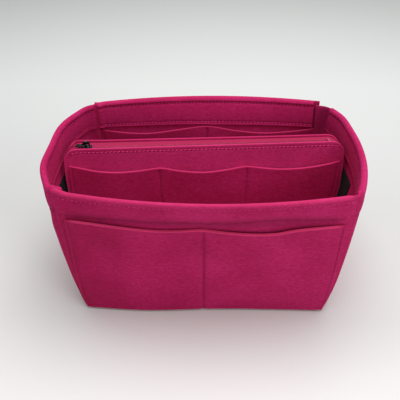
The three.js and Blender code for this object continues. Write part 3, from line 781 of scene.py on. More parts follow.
def pocketRows(cut, halfAt, place, body, turn):  # stitches, small and sunk in the face of the sewn lines
    edges = 1 - 2 * cut["sideSeam"] / (2 * halfAt(widthLevel))
    low = cut["foot"] + cut["footSeam"]
    lines = []
    for u in (-edges, edges, *cut["dividers"][1:-1]):
        top = float(curveThrough(cut["top"], np.array(u))) - pocketSeams["topClear"]
        lines.append((u, np.linspace(low, top, 90), "edgePinch" if abs(u) == edges else "pinch"))
    lines.append((np.linspace(-edges, edges, 140), np.full(140, low), "edgePinch"))
    for u, z, pinch in lines:
        off = np.full_like(z, gap + cut["thick"] * (1 - cut[pinch]) - pocketSeams["sunk"])
        addRow(body, turn, place, u * halfAt(z), z, off, pocketSeams["stitch"])


def addPocket(name, node, cut, halfAt, place, body, turn, on, facing=1):
    middle, thick, crease, worn = (part[::facing] for part in pocketGrid(cut, halfAt, place))
    mesh = sheetMesh(name, turn(middle), thick, crease=crease, worn=worn)
    piece = addPiece(name, node, mesh, body, pinkFelt)
    flat = (2 * float(halfAt(widthLevel)) * mm, (cut["tall"] + seamWidth) * mm)
    pocketRows(cut, halfAt, place, body, turn)


for name, node, cut, place, turn, on, facing in (
    ("frontPocket", "front_pocket", frontPocketCut, offWall(frontShape), asIs, "frontWall", 1),
    ("backPocket", "back_pocket", backPocketCut, offWall(backShape), halfRound, "backWall", 1),
    ("innerPocket", "inner_back_pocket", innerPocketCut, offWall(backShape, True), halfRound, "backWall", -1),
):
    addPocket(name, node, cut, basketHalf(cut), place, "basket", turn, on, facing)
print("basket pockets ready")


# rows that sew the front and back walls to the side walls lapped behind their ends
cornerSeam = {"foot": 5.0, "top": 152.0, "low": 2.2, "wideLap": 6.5, "size": 0.5, "sunk": 0.12}


def sewCorners(wall, ends, laps, turn):
    z = np.linspace(cornerSeam["foot"], cornerSeam["top"], 110)
    for side, end, lap in zip((-1, 1), ends, laps):
        wide = cornerSeam["wideLap"] if lap > walls["lap"] else cornerSeam["low"]
        away = mix(cornerSeam["low"], wide, ease(*foldZone, z))
        sunk = end["thin"] * (1 - ease(0, hem["thinRun"], away)) + cornerSeam["sunk"]
        addRow("basket", turn, offWall(wall), side * (panelHalf(z) - away), z, -sunk, cornerSeam["size"])


sewCorners(frontShape, frontEnds, (leftShape["laps"][1], rightShape["laps"][0]), asIs)
sewCorners(backShape, backEnds, (rightShape["laps"][1], leftShape["laps"][0]), halfRound)


# base: a felt sheet between the walls' feet, tuck is how far it presses into them
base = {"tuck": 0.35, "step": 2.0, "closeEnd": 9, "closeCount": 24}


def baseOutline():  # the walls' inner faces at the base, front line and back line from left to right
    z = np.array([felt / 2])

    def sideLine(wall):
        points, inward = sidePath(wall)(z)
        return (points + inward * felt)[:, 0]

    def panelLine(wall, first, last):
        x = np.linspace(first, last, 200)
        point, along, inward = frontAt(wall, x, np.broadcast_to(z, x.shape))
        return point + inward * felt

    right, left = sideLine(rightShape), -sideLine(leftShape)
    middle = len(right) // 2
    front = np.concatenate([left[middle:], panelLine(frontShape, left[-1, 0], right[0, 0]), right[:middle]])
    behind = -panelLine(backShape, -right[-1, 0], -left[0, 0])[::-1]
    back = np.concatenate([left[:middle][::-1], behind, right[middle:][::-1]])
    return [(np.maximum.accumulate(line[:, 0]), line[:, 1]) for line in (front, back)]


def addBase():
    (front, back), tuck, near = baseOutline(), base["tuck"], base["closeEnd"]
    low, high = max(front[0][0], back[0][0]) - tuck, min(front[0][-1], back[0][-1]) + tuck
    ends = [np.linspace(a, b, base["closeCount"]) for a, b in ((low, low + near), (high - near, high))]
    x = np.unique(np.concatenate([low + stops(high - low, base["step"]), *ends]))[:, None]
    deep = float(np.interp(0, *back) - np.interp(0, *front))
    y = stops(deep, base["step"]) / deep
    across = mix(np.interp(x, *front) - tuck, np.interp(x, *back) + tuck, y)
    grid = np.stack([x + 0 * y, across, felt / 2 + 0 * x * y], -1)
    piece = addPiece("basePad", "base_panel", sheetMesh("basePad", grid, felt), "basket", pinkFelt)


addBase()


# zipped pouch, worked out in its own frame: X along it, Z up from its lower edge, -Y its front
pouch = {
    "place": (1.02704, -11.5, 3.9438), "x": (0.9969173, 0.0784591, 0.0),
    "y": (-0.0776955, 0.9872154, -0.1391731), "z": (-0.0109194, 0.1387441, 0.9902681),
    "height": 150.0, "depth": 15.0, "corner": 14.0, "waist": 72.0, "baseEase": 4.0, "topEase": 1.5,
    "tapeStack": 3.0, "topLevel": 120, "inset": 0.6, "bow": 7.3, "bowTurn": -2.0, "bowZone": (30, 150),
    "leftBow": 1.6, "leftZone": (-0.7, -0.95), "rightBow": 1.0, "rightZone": (0.5, 0.9),
    "heldZone": (0.93, 1.0), "frontSlack": 0.7, "frontWaves": (4.3, 1.1, 40), "slump": 0.02,
    "fullness": [(0, 0), (60, 0.3), (75, 1.2), (97, 3.4), (120, 2), (136, 0)],
}
rimRow = {
    "drop": 3.9, "pinch": 0.38, "width": 1.1, "from": (100, 120), "lift": 0.2, "stitch": 1.25, "hole": 1.1,
}
pouchAxes = np.array([pouch["x"], pouch["y"], pouch["z"]])
pouchAxes[2] += pouch["slump"] * pouchAxes[1]  # the soft panels lean back a little further than the solids
pouchHeight = pouch["height"]


def inPouch(points, direction=False):
    turned = np.asarray(points, float) @ pouchAxes
    return turned if direction else turned + np.array(pouch["place"])


def wallInside(z):
    return float(sideAt(rightShape, np.array(0.0), np.array(float(z)))[0]) - felt


shoulder = pouchHeight - pouch["corner"]
pouchBase = wallInside(0) - pouch["baseEase"]
pouchWaistHalf = wallInside(pouch["waist"] + pouch["place"][2]) - pouch["tapeStack"]
pouchTop = wallInside(pouch["topLevel"]) - pouch["tapeStack"] - pouch["topEase"]
pouchStraight = pouchTop - pouch["corner"]


def pouchSide(z):  # half its width, round at the upper corners
    flat = np.interp(z, [0, pouch["waist"], shoulder], [pouchBase, pouchWaistHalf, pouchTop])
    up = np.clip(z - shoulder, 0, pouch["corner"])
    return np.where(z > shoulder, pouchStraight + np.sqrt(np.maximum(pouch["corner"] ** 2 - up**2, 0)), flat)


def pouchFrontSide(z):  # the front panel is cut fuller below its shoulders
    return pouchSide(z) + np.interp(z, *zip(*pouch["fullness"]))


def pouchFront(x, z):  # depth of the front panel's middle
    s = x / pouchTop
    across, start, rise = pouch["frontWaves"]
    wave = pouch["frontSlack"] * np.sin(np.pi * z / pouchHeight) * np.sin(across * s + start + z / rise)
    return -(pouch["depth"] - felt) / 2 + wave * (1 - s**2)


def pouchBack(x, z):  # the back panel stands off towards the top, most at its left end
    s = x / pouchTop
    bend = pouch["bow"] + pouch["bowTurn"] * s
    bend = bend + pouch["leftBow"] * ease(*pouch["leftZone"], s)
    bend = bend + pouch["rightBow"] * ease(*pouch["rightZone"], s)
    held = 1 - 0.5 * ease(*pouch["heldZone"], np.abs(s))
    return (pouch["depth"] - felt) / 2 + bend * ease(*pouch["bowZone"], z) * held


def pouchEdge(x, z, sideOf):  # distance from the panel's outline
    out, up = np.abs(x) - pouchStraight, z - shoulder
    corner = pouch["corner"] - np.hypot(out, up)
    flat = np.minimum(np.minimum(sideOf(z) - np.abs(x), pouchHeight - z), z)
    return np.maximum(np.where((out > 0) & (up > 0), corner, np.where(up > 0, pouchHeight - z, flat)), 0)


def addPouchPanel(name, node, depthAt, side):
    corner = shoulder + pouch["corner"] * np.sin(np.linspace(0, math.pi / 2, 22))
    row, rim = pouchHeight - rimRow["drop"] + np.array(seamSteps), pouchHeight - np.array(cutSteps)
    z = apart(np.unique(np.concatenate([stops(pouchHeight, 1.8), corner, row, rim])), 0.04)
    u = stops(2 * pouchTop, 1.8) / pouchTop - 1
    sideOf = pouchFrontSide if side < 0 else pouchSide
    x = u[:, None] * sideOf(z)[None] * -side
    z = np.broadcast_to(z, x.shape)
    edge = pouchEdge(x, z, sideOf)
    pinch = rimRow["pinch"] * dent(edge, rimRow["drop"], rimRow["width"]) * ease(*rimRow["from"], z)
    grid = inPouch(np.stack([x, depthAt(x, z), z], -1))
    mesh = sheetMesh(name, grid, felt * (1 - pinch), edge=edge, worn=0.5)
    piece = addPiece(name, node, mesh, "pouch", pinkFelt)


def pouchRim(inset, start, count):  # the upper edge, set in, from the right side over the top to the left
    reach = pouch["corner"] - inset
    low = np.linspace(start, shoulder, 14)[:-1]
    turn = np.linspace(0, math.pi / 2, 12)
    corner = np.stack([pouchStraight + reach * np.cos(turn), shoulder + reach * np.sin(turn)], -1)
    right = np.concatenate([np.stack([pouchSide(low) - inset, low], -1), corner])
    flat = np.linspace(pouchStraight, -pouchStraight, count + 2)[1:-1]
    level = np.stack([flat, np.full(count, pouchHeight - inset)], -1)
    return np.concatenate([right, level, (right * (-1, 1))[::-1]])


def sewPouchRim():
    rim = pouchRim(rimRow["drop"], 118.0, 60)
    x, z = rim[rim[:, 1] > pouchHeight - 5].T
    for depthAt, side in ((pouchFront, -1), (pouchBack, 1)):
        y = depthAt(x, z) + side * (felt / 2 * (1 - rimRow["pinch"]) + rimRow["lift"])
        out = np.broadcast_to(np.array([0.0, side, 0.0]), (len(x), 3))
        row = inPouch(np.stack([x, y, z], -1))
        stitchRows["pouch"].append((row, inPouch(out, True), rimRow["stitch"], rimRow["hole"]))


addPouchPanel("pouchFrontPanel", "pouch_front_panel", pouchFront, -1)
addPouchPanel("pouchBackPanel", "pouch_back_panel", pouchBack, 1)
sewPouchRim()

pouchPocketCut = {
    "foot": 4.0, "tall": 124.0, "inset": 5.0, "thick": 2.5, "sideSeam": 2.8, "footSeam": 4.5,
    "pinch": 0.5, "edgePinch": 0.3, "crease": 0.18, "worn": 1.0, "sag": 0.4,
    "dividers": [-1, -0.345, 0.3, 1], "gape": [3.0, 2.8, 3.2],
    "top": [(-1, 133), (-0.93, 131.6), (-0.8, 127.8), (-0.66, 126), (-0.5, 126.5), (-0.365, 128),
            (-0.325, 128), (-0.18, 124.9), (-0.02, 123.2), (0.15, 124.9), (0.28, 126.9), (0.32, 126.9),
            (0.45, 124.9), (0.58, 123.8), (0.75, 124.6), (0.9, 127), (1, 129.4)],
}


def pouchPocketHalf(z):
    return pouchFrontSide(z) - pouchPocketCut["inset"]


def onPouchFront(x, z, off):
    return np.stack([x, pouchFront(x, z) - felt / 2 - off, z], -1)


addPocket("pouchPocket", "pouch_pocket", pouchPocketCut, pouchPocketHalf, onPouchFront, "pouch", inPouch,
          "pouchFrontPanel")


# the pouch's gusset: a felt band down its ends and under it, a little drawn in between the panels
zipCut = {
    "end": 8.0, "parting": 0.8, "coilWidth": 2.0, "coilTail": 12.0, "stop": 3.0, "tape": 0.55, "room": 0.3,
}
gusset = {
    "top": shoulder - zipCut["end"], "foot": 0.6, "drawn": (0.7, 0.21), "thick": felt - 0.1,
    "flatWidth": 0.012,
}


def addGusset():
    z = np.linspace(gusset["top"], gusset["foot"], 70)
    inset = pouch["inset"] + felt / 2
    side = np.stack([pouchSide(z) - inset, np.maximum(z, inset)], -1)
    flat = np.linspace(1, -1, 140)[1:-1, None] * np.array([[side[-1, 0], 0]]) + np.array([[0, inset]])
    line = np.concatenate([side, flat, (side * (-1, 1))[::-1]])
    line = line[np.concatenate([[True], np.linalg.norm(np.diff(line, axis=0), axis=1) > 0.05])]
    half = (pouch["depth"] - 2 * felt) / 2 - gap
    y = stops(2 * half, 0.9) - half
    out = -turnedIn(unit(np.gradient(line, axis=0)))
    drawn = (1 - (y / half) ** 2)[None, :, None] * np.array(gusset["drawn"])
    xz = line[:, None] - out[:, None] * drawn
    grid = np.stack([xz[..., 0], np.broadcast_to(y, xz.shape[:2]), xz[..., 1]], -1)[:, ::-1]
    mesh = sheetMesh("pouchGusset", inPouch(grid), gusset["thick"])
    piece = addPiece("pouchGusset", "pouch_gusset", mesh, "pouch", pinkFelt)
    flat = (float(distancesAt(line)[-1]) * mm, gusset["flatWidth"])


addGusset()
print("pouch panels, pocket and gusset ready")


# zip tapes: woven bands beside the coils, bent down inside the panels where the rim's stitches hold them,
# with sections as (share of the way from the coil to the panel, depth below the rim)
flatSection = [
    (0.0, 3.6), (0.03, 3.48), (0.1, 3.42), (0.3, 3.4), (0.5, 3.42), (0.7, 3.46), (0.86, 3.55), (0.95, 3.8),
    (1.0, 4.4), (1.0, 5.4), (1.0, 7.0), (1.0, 9.0), (1.0, 10.6), (1.0, 10.9), (1.0, 11.0),
]
risingSection = [
    (0.0, 3.6), (0.03, 3.48), (0.1, 3.4), (0.15, 3.36), (0.19, 3.33), (0.23, 3.27), (0.28, 3.15), (0.4, 2.75),
    (0.55, 2.25), (0.7, 1.8), (0.8, 1.6), (0.88, 1.75), (0.94, 2.3), (0.98, 3.2), (1.0, 4.2), (1.0, 5.4),
    (1.0, 6.5), (1.0, 7.0), (1.0, 7.2),
]
zipSeams = [(0.2, 0.05, 1.0), (0.95, 0.04, 0.5)]  # painted shade at the coil and at the panel: share, width and darkness
zipTapeFlat, zipTapeStart = (0.36, 0.012), 0.45


def addZipTape(name, node, depthAt, side, section):
    rows = []
    for out, inset in section:
        x, z = pouchRim(inset, gusset["top"] + gap, 130).T
        far = np.abs(depthAt(x, z)) - felt / 2 - zipCut["room"]
        rows.append(np.stack([x, side * mix(zipTapeStart, far, out), z], -1))
    grid = np.stack(rows, 1)[::-side]
    shares = np.array(section)[:, 0]
    # painted shade along the seams
    seam = sum(dark * dent(shares, at, width) for at, width, dark in zipSeams)
    crease = np.broadcast_to(seam, grid.shape[:2])
    mesh = sheetMesh(name, inPouch(grid), zipCut["tape"], 0.7, 0.2, 0.3, crease)
    piece = addPiece(name, node, mesh, "pouch", pinkWebbing)


addZipTape("frontZipTape", "zip_front_tape", pouchFront, -1, flatSection)
addZipTape("backZipTape", "zip_back_tape", pouchBack, 1, risingSection)


# node trees: rows of stitches, coil teeth and tape pile all repeat one small curved strand
def newTree(name, *labels):
    tree = bpy.data.node_groups.new(name, "GeometryNodeTree")
    tree.interface.new_socket("Geometry", in_out="INPUT", socket_type="NodeSocketGeometry")
    sockets = {}
    for label in labels:
        made = tree.interface.new_socket(label, in_out="INPUT", socket_type="NodeSocketFloat")
        sockets[label] = made.identifier
    tree.interface.new_socket("Geometry", in_out="OUTPUT", socket_type="NodeSocketGeometry")
    entry, leave = tree.nodes.new("NodeGroupInput"), tree.nodes.new("NodeGroupOutput")
    return tree, entry.outputs, leave.inputs["Geometry"], sockets


def vectorOf(tree, parts):
    return addNode(tree, "ShaderNodeCombineXYZ", **dict(zip("XYZ", parts))).outputs["Vector"]


def strandNodes(tree, start, middle, end, thickness, sides, steps):
    # one strand: a curved line with a round section, closed at its ends
    start, middle, end = (vectorOf(tree, parts) for parts in (start, middle, end))
    line = addNode(tree, "GeometryNodeCurveQuadraticBezier", Resolution=steps, Start=start, Middle=middle,
                   End=end)
    ring = addNode(tree, "GeometryNodeCurvePrimitiveCircle", Resolution=sides)
    tree.links.new(thickness, ring.inputs["Radius"])
    curve, profile = line.outputs["Curve"], ring.outputs["Curve"]
    strand = addNode(tree, "GeometryNodeCurveToMesh", Curve=curve, ProfileCurve=profile, FillCaps=True)
    return strand.outputs["Mesh"]


def turnedAbout(tree, rotation, least, most, seed):  # turned by chance about its own Z
    chance = tree.nodes.new("FunctionNodeRandomValue")
    chance.data_type = "FLOAT"
    for label, value in (("Min", least), ("Max", most), ("Seed", seed)):
        chance.inputs[label].default_value = value
    turn = addNode(tree, "FunctionNodeAxisAngleToRotation", Axis=(0, 0, 1), Angle=chance.outputs[1])
    both = addNode(tree, "FunctionNodeRotateRotation", Rotation=rotation, RotateBy=turn.outputs["Rotation"])
    both.rotation_space = "LOCAL"
    return both.outputs["Rotation"]


def alongAndOut(tree, slant, wobble):  # X along the row, Z out of the cloth, turned a little about Z
    outward = addNode(tree, "GeometryNodeInputNamedAttribute", Name="outward")
    outward.data_type = "FLOAT_VECTOR"
    first, second = (tree.nodes.new("FunctionNodeAlignRotationToVector") for k in range(2))
    first.axis, second.axis, second.pivot_axis = "X", "Z", "X"
    tangent = tree.nodes.new("GeometryNodeInputTangent").outputs["Tangent"]
    tree.links.new(tangent, first.inputs["Vector"])
    tree.links.new(first.outputs["Rotation"], second.inputs["Rotation"])
    tree.links.new(outward.outputs["Attribute"], second.inputs["Vector"])
    return turnedAbout(tree, second.outputs["Rotation"], slant - wobble, slant + wobble, 5)


def placeOn(tree, points, strand, rotation, material, sizedBy=None):
    copies = addNode(tree, "GeometryNodeInstanceOnPoints", Points=points, Instance=strand, Rotation=rotation)
    if sizedBy:
        size = addNode(tree, "GeometryNodeInputNamedAttribute", Name=sizedBy)
        tree.links.new(size.outputs["Attribute"], copies.inputs["Scale"])
    real = addNode(tree, "GeometryNodeRealizeInstances", Geometry=copies.outputs["Instances"])
    dyed = addNode(tree, "GeometryNodeSetMaterial", Geometry=real.outputs["Geometry"], Material=material)
    return dyed.outputs["Geometry"]


def spacedRow(tree, entry):
    curve = addNode(tree, "GeometryNodeMeshToCurve", Mesh=entry["Geometry"])
    even = tree.nodes.new("GeometryNodeResampleCurve")
    even.mode = "LENGTH"
    tree.links.new(curve.outputs["Curve"], even.inputs["Curve"])
    tree.links.new(entry["Pitch"], even.inputs["Length"])
    return even.outputs["Curve"]


def stitchTree():
    tree, entry, leave, sockets = newTree("stitchRows", "Pitch", "Length", "Thread", "Hole")
    row, rotation = spacedRow(tree, entry), alongAndOut(tree, sewing["slant"], sewing["wobble"])
    half, low = times(tree, entry["Length"], 0.5), times(tree, entry["Thread"], -1.0)
    back, high = times(tree, half, -1.0), times(tree, entry["Thread"], 2.2)
    strand = strandNodes(tree, (back, 0, low), (0, 0, high), (half, 0, low), entry["Thread"], 6, 5)
    threads = placeOn(tree, row, strand, rotation, pinkThread, "size")
    # dark dimples between the stitches, painted shade where the needle holes lie
    dimple = addNode(tree, "GeometryNodeMeshUVSphere", Segments=6, Rings=4, Radius=entry["Hole"])
    between = vectorOf(tree, (times(tree, entry["Pitch"], 0.5), 0, 0))
    flat = addNode(tree, "GeometryNodeTransform", Geometry=dimple.outputs["Mesh"], Translation=between,
                   Scale=sewing["holeShape"])
    holeShades = placeOn(tree, row, flat.outputs["Geometry"], rotation, holeShade, "hole")
    join = tree.nodes.new("GeometryNodeJoinGeometry")
    for made in (holeShades, threads):
        tree.links.new(made, join.inputs["Geometry"])
    tree.links.new(join.outputs["Geometry"], leave)
    return tree, sockets


def coilTree():
    tree, entry, leave, sockets = newTree("coilTeeth", "Pitch", "Reach", "Wire", "Rise")
    low, high = times(tree, entry["Rise"], -0.5), times(tree, entry["Rise"], 1.1)
    near, far = times(tree, entry["Reach"], -1.0), entry["Reach"]
    strand = strandNodes(tree, (0, near, low), (0, 0, high), (0, far, low), entry["Wire"], 6, 6)
    row, rotation = spacedRow(tree, entry), alongAndOut(tree, coil["slant"], coil["wobble"])
    tree.links.new(placeOn(tree, row, strand, rotation, pinkNylon), leave)
    return tree, sockets


def pileTree():
    tree, entry, leave, sockets = newTree("tapePile", "Density", "Loop", "Strand")
    scatter = tree.nodes.new("GeometryNodeDistributePointsOnFaces")
    scatter.inputs["Seed"].default_value = 3
    tree.links.new(entry["Geometry"], scatter.inputs["Mesh"])
    tree.links.new(entry["Density"], scatter.inputs["Density"])
    rotation = turnedAbout(tree, scatter.outputs["Rotation"], 0.0, 6.283, 9)
    half, high, low = times(tree, entry["Loop"], 0.5), times(tree, entry["Loop"], 1.4), tape["rooted"]
    back = times(tree, half, -1.0)
    strand = strandNodes(tree, (back, 0, low), (0, 0, high), (half, 0, low), entry["Strand"], 3, 5)
    tree.links.new(placeOn(tree, scatter.outputs["Points"], strand, rotation, blackTape), leave)
    return tree, sockets


def plainMesh(maker):  # an object's evaluated shape as a mesh of its own
    bpy.context.scene.collection.objects.link(maker)
    bpy.context.view_layer.update()
    return bpy.data.meshes.new_from_object(maker.evaluated_get(bpy.context.evaluated_depsgraph_get()))


def grow(name, source, treeAndSockets, values):
    # runs a node tree on a mesh; its inputs are the values of the same names in small letters
    tree, sockets = treeAndSockets
    maker = bpy.data.objects.new(name + "Maker", source)
    modifier = maker.modifiers.new("grow", "NODES")
    modifier.node_group = tree
    for label, identifier in sockets.items():
        modifier[identifier] = values[label.lower()]
    mesh = plainMesh(maker)
    mesh.name = name
    maker.modifiers.remove(modifier)
    bpy.data.objects.remove(maker)
    mesh.shade_smooth()
    return mesh


def rowsMesh(name, rows):
    points, outward = (np.concatenate([row[k] for row in rows]) for k in (0, 1))
    starts = np.cumsum([0] + [len(row[0]) for row in rows])
    edges = [(k, k + 1) for a, b in zip(starts, starts[1:]) for k in range(a, b - 1)]
    mesh = bpy.data.meshes.new(name + "Rows")
    mesh.from_pydata((points * mm).tolist(), edges, [])
    mark = mesh.attributes.new("outward", "FLOAT_VECTOR", "POINT")
    mark.data.foreach_set("vector", outward.astype(np.float32).ravel())
    for label, k in (("size", 2), ("hole", 3)):
        markPoints(mesh, label, np.concatenate([np.full(len(row[0]), row[k]) for row in rows]))
    return mesh


# zip coils: nylon teeth along the top and some way round the right-hand corner
coil = {
    "pitch": 0.00118, "reach": 0.0009, "wire": 0.00034, "rise": 0.00095, "slant": 0.12, "wobble": 0.02,
    "inset": 1.8, "stopClear": 0.7, "steps": 200,
}


def coilRow(side, shift):
    reach, count = pouch["corner"] - coil["inset"], coil["steps"]
    flat = np.linspace(zipCut["stop"] + coil["stopClear"] - pouchStraight + shift, pouchStraight, count)
    turn = np.linspace(math.pi / 2, math.pi / 2 - zipCut["coilTail"] / pouch["corner"], 12)[1:]
    cornerOut = np.stack([np.cos(turn), 0 * turn, np.sin(turn)], -1)
    x = np.concatenate([flat, pouchStraight + reach * np.cos(turn)])
    z = np.concatenate([np.full(count, pouchHeight - coil["inset"]), shoulder + reach * np.sin(turn)])
    out = np.concatenate([np.tile([[0.0, 0.0, 1.0]], (count, 1)), cornerOut])
    y = np.full_like(x, side * (zipCut["parting"] / 2 + zipCut["coilWidth"] / 2))
    return inPouch(np.stack([x, y, z], -1)), inPouch(out, True), 1.0, 1.0


coilTeeth = coilTree()
for name, node, side, shift in (
    ("backCoil", "zip_back_coil", 1, 0.0),
    ("frontCoil", "zip_front_coil", -1, 0.6),
):
    mesh = grow(name, rowsMesh(name, [coilRow(side, shift)]), coilTeeth, coil)
    addPiece(name, node, mesh, "pouch")
print("zip tapes and coils ready")


# metal: stops, slider and pull, as rounded plates
def plate(outlines, low, high, bevel):  # flat plate with holes and rounded edges, lying in X and Y
    curve = bpy.data.curves.new("plate", "CURVE")
    curve.dimensions, curve.fill_mode = "2D", "BOTH"
    curve.extrude, curve.offset = ((high - low) / 2 - bevel) * mm, -bevel * mm
    curve.bevel_depth, curve.bevel_resolution = bevel * mm, 2
    for outline in outlines:
        spline = curve.splines.new("POLY")
        spline.points.add(len(outline) - 1)
        spline.use_cyclic_u = True
        for point, (x, y) in zip(spline.points, outline):
            point.co = (x * mm, y * mm, 0, 1)
    maker = bpy.data.objects.new("plateMaker", curve)
    mesh = plainMesh(maker)
    bpy.data.objects.remove(maker)
    mesh.transform(Matrix.Translation((0, 0, (low + high) / 2 * mm)))
    return mesh


def rounded(corners, radius, steps=6):  # outline with each corner rounded
    out = []
    for k in range(len(corners)):
        before, here, after = (np.array(corners[(k + d) % len(corners)], float) for d in (-1, 0, 1))
        start = here + unit(before - here) * radius
        end = here + unit(after - here) * radius
        for t in np.linspace(0, 1, steps):
            out.append(tuple((1 - t) ** 2 * start + 2 * t * (1 - t) * here + t * t * end))
    return out


def block(left, right, near, far, radius):
    return rounded([(left, near), (right, near), (right, far), (left, far)], radius)


def mirrored(points, flipX, flipY):  # an outline's half and its mirror image, in one round
    return points + [(flipX * x, flipY * y) for x, y in points[::-1]]


pouchMatrix = Matrix([[*pouchAxes[:, k], pouch["place"][k] * mm] for k in range(3)] + [[0, 0, 0, 1]])


def addMetal(name, node, meshes, body, material):
    whole = bmesh.new()
    for mesh in meshes:
        whole.from_mesh(mesh)
    bmesh.ops.remove_doubles(whole, verts=whole.verts, dist=1e-7)
    bmesh.ops.recalc_face_normals(whole, faces=whole.faces)
    mesh = bpy.data.meshes.new(name)
    whole.to_mesh(mesh)
    whole.free()
    mesh.shade_smooth()
    mesh.transform(pouchMatrix)
    addPiece(name, node, mesh, body, material)


stopCut = {
    "foot": 147.1, "top": 148.7, "near": 0.4, "far": 2.4, "legIn": 2.7, "legOut": 3.3,
    "bridge": (149.0, 149.6),
}
sliderCut = {
    "middle": -119.671, "length": 10.0, "wide": 8.0, "narrow": 6.8, "plateFoot": 149.0, "plateTop": 150.2,
    "under": 145.7, "underThick": 1.2, "lip": 147.55, "crownHalf": 1.6,
    "crown": [(-3.35, 0.0), (-3.35, 3.4), (-3.0, 4.5), (-2.2, 5.1), (-1.0, 5.3)],
    "arch": [(2.3, 0.0), (2.3, 2.1), (2.1, 2.7), (1.6, 3.0), (0.8, 3.05)],
}
pullCut = {
    "foot": 150.8, "top": 152.0, "hole": (-8.5, 0.9, 0.8), "eye": (-0.6, -4.8, -1.7, 1.7),
    "bar": (0.6, 2.8), "half": [(-4.9, 2.75), (-5.8, 2.1), (-7.0, 2.0), (-8.4, 2.6), (-10.5, 2.5)],
}


def addStops():
    cut, long, end = stopCut, zipCut["stop"], pouchStraight
    ends = (("backTopStop", "zip_back_top_stop", 1), ("frontTopStop", "zip_front_top_stop", -1))
    for name, node, side in ends:
        outline = block(-end, long - end, side * cut["near"], side * cut["far"], 0.5)
        addMetal(name, node, [plate([outline], cut["foot"], cut["top"], 0.35)], "pouch", gunmetal)
    low, high = cut["bridge"]
    parts = [plate([block(end - long, end, -cut["legOut"], cut["legOut"], 0.7)], low, high, 0.22)]
    for s in (-1, 1):
        leg = block(end - long, end, s * cut["legIn"], s * cut["legOut"], 0.25)
        parts.append(plate([leg], cut["foot"], high - 0.1, 0.2))
    addMetal("bottomStop", "zip_bottom_stop", parts, "pouch", pinkNylon)


def addSlider():
    cut, x = sliderCut, sliderCut["middle"]
    a, b, w, n = x - cut["length"] / 2, x + cut["length"] / 2, cut["wide"] / 2, cut["narrow"] / 2
    foot, top, under, waist = cut["plateFoot"], cut["plateTop"], cut["under"], x + 0.6
    shield = mirrored([(a, 0.7 - w), (a + 1.6, -w), (waist, 0.1 - w), (b, -n)], 1, -1) + [(a + 0.7, 0)]
    shield = rounded(shield, 0.9)
    parts = [plate([shield], foot, top, 0.4), plate([shield], under - cut["underThick"], under, 0.4)]
    for s in (-1, 1):
        edge = [(a + 0.9, w - 0.85), (waist, w - 0.95), (b - 0.5, n - 0.7), (b - 0.5, n),
                (waist, w - 0.1), (a + 0.9, w)]
        edge = [(px, s * py) for px, py in edge]
        parts.append(plate([rounded(edge, 0.25)], cut["lip"], foot + 0.5, 0.2))
    parts.append(plate([block(a + 0.2, a + 3.0, -0.2, 0.2, 0.15)], under - 0.5, foot + 0.5, 0.05))
    # crown: a bent strip over the pull's crossbar
    arch = mirrored(cut["crown"], -1, 1) + mirrored(cut["arch"], -1, 1)
    crown = plate([rounded(arch, 0.12, 3)], -cut["crownHalf"], cut["crownHalf"], 0.3)
    upright = Matrix.Rotation(math.pi / 2, 4, "X")
    crown.transform(Matrix.Translation((x * mm, 0, (top - 0.1) * mm)) @ upright)
    addMetal("zipSlider", "zip_slider", [*parts, crown], "slider", gunmetal)


def addPull():
    cut = pullCut
    away, wide, tall = cut["hole"]
    turn = np.linspace(0, 2 * math.pi, 17)[:-1]
    hole = [(away + wide * math.cos(t), tall * math.sin(t)) for t in turn]
    end, half = cut["bar"]
    shape = [(end, -half), (end, half), *mirrored(cut["half"], 1, -1)]
    outlines = [rounded(shape, 0.6), block(*cut["eye"], 0.4), hole]
    outlines = [[(sliderCut["middle"] + px, py) for px, py in outline] for outline in outlines]
    parts = [plate(outlines, cut["foot"], cut["top"], 0.25)]
    addMetal("zipPull", "zip_pull_tab", parts, "pull", gunmetal)


addStops()
addSlider()
addPull()
print("zip metal ready")


# hook-and-loop tape: a looped pile on the side walls and hooks on the pouch's ends
tape = {
    "foot": 76.0, "tall": 44.0, "loopWide": 50.0, "hookWide": 9.0, "hookMargin": 4.0, "thick": 0.8,
    "pouchTurn": 4.5, "hookFlat": 0.01, "rooted": -0.00005,
}
loopPile = {"density": 750000.0, "loop": 0.0007, "strand": 0.00006}
hookPile = {"density": 900000.0, "loop": 0.0008, "strand": 0.00006}


def addTape(name, node, grid, body, pile, on):
    band = sheetMesh(name, grid, tape["thick"], 0.7, 0.3, 0.3)
    piece = addPiece(name, node, band, body, blackTape)
    face = grid[1:-1, 1:-1]
    index = np.arange(face.shape[0] * face.shape[1]).reshape(face.shape[:2])
    points = (face + gridNormals(face) * tape["thick"] / 2).reshape(-1, 3)
    source = makeMesh(name + "Face", points, gridFaces(index).tolist())
    fuzz = addPiece(name + "Pile", None, grow(name + "Pile", source, tapePile, pile), body)


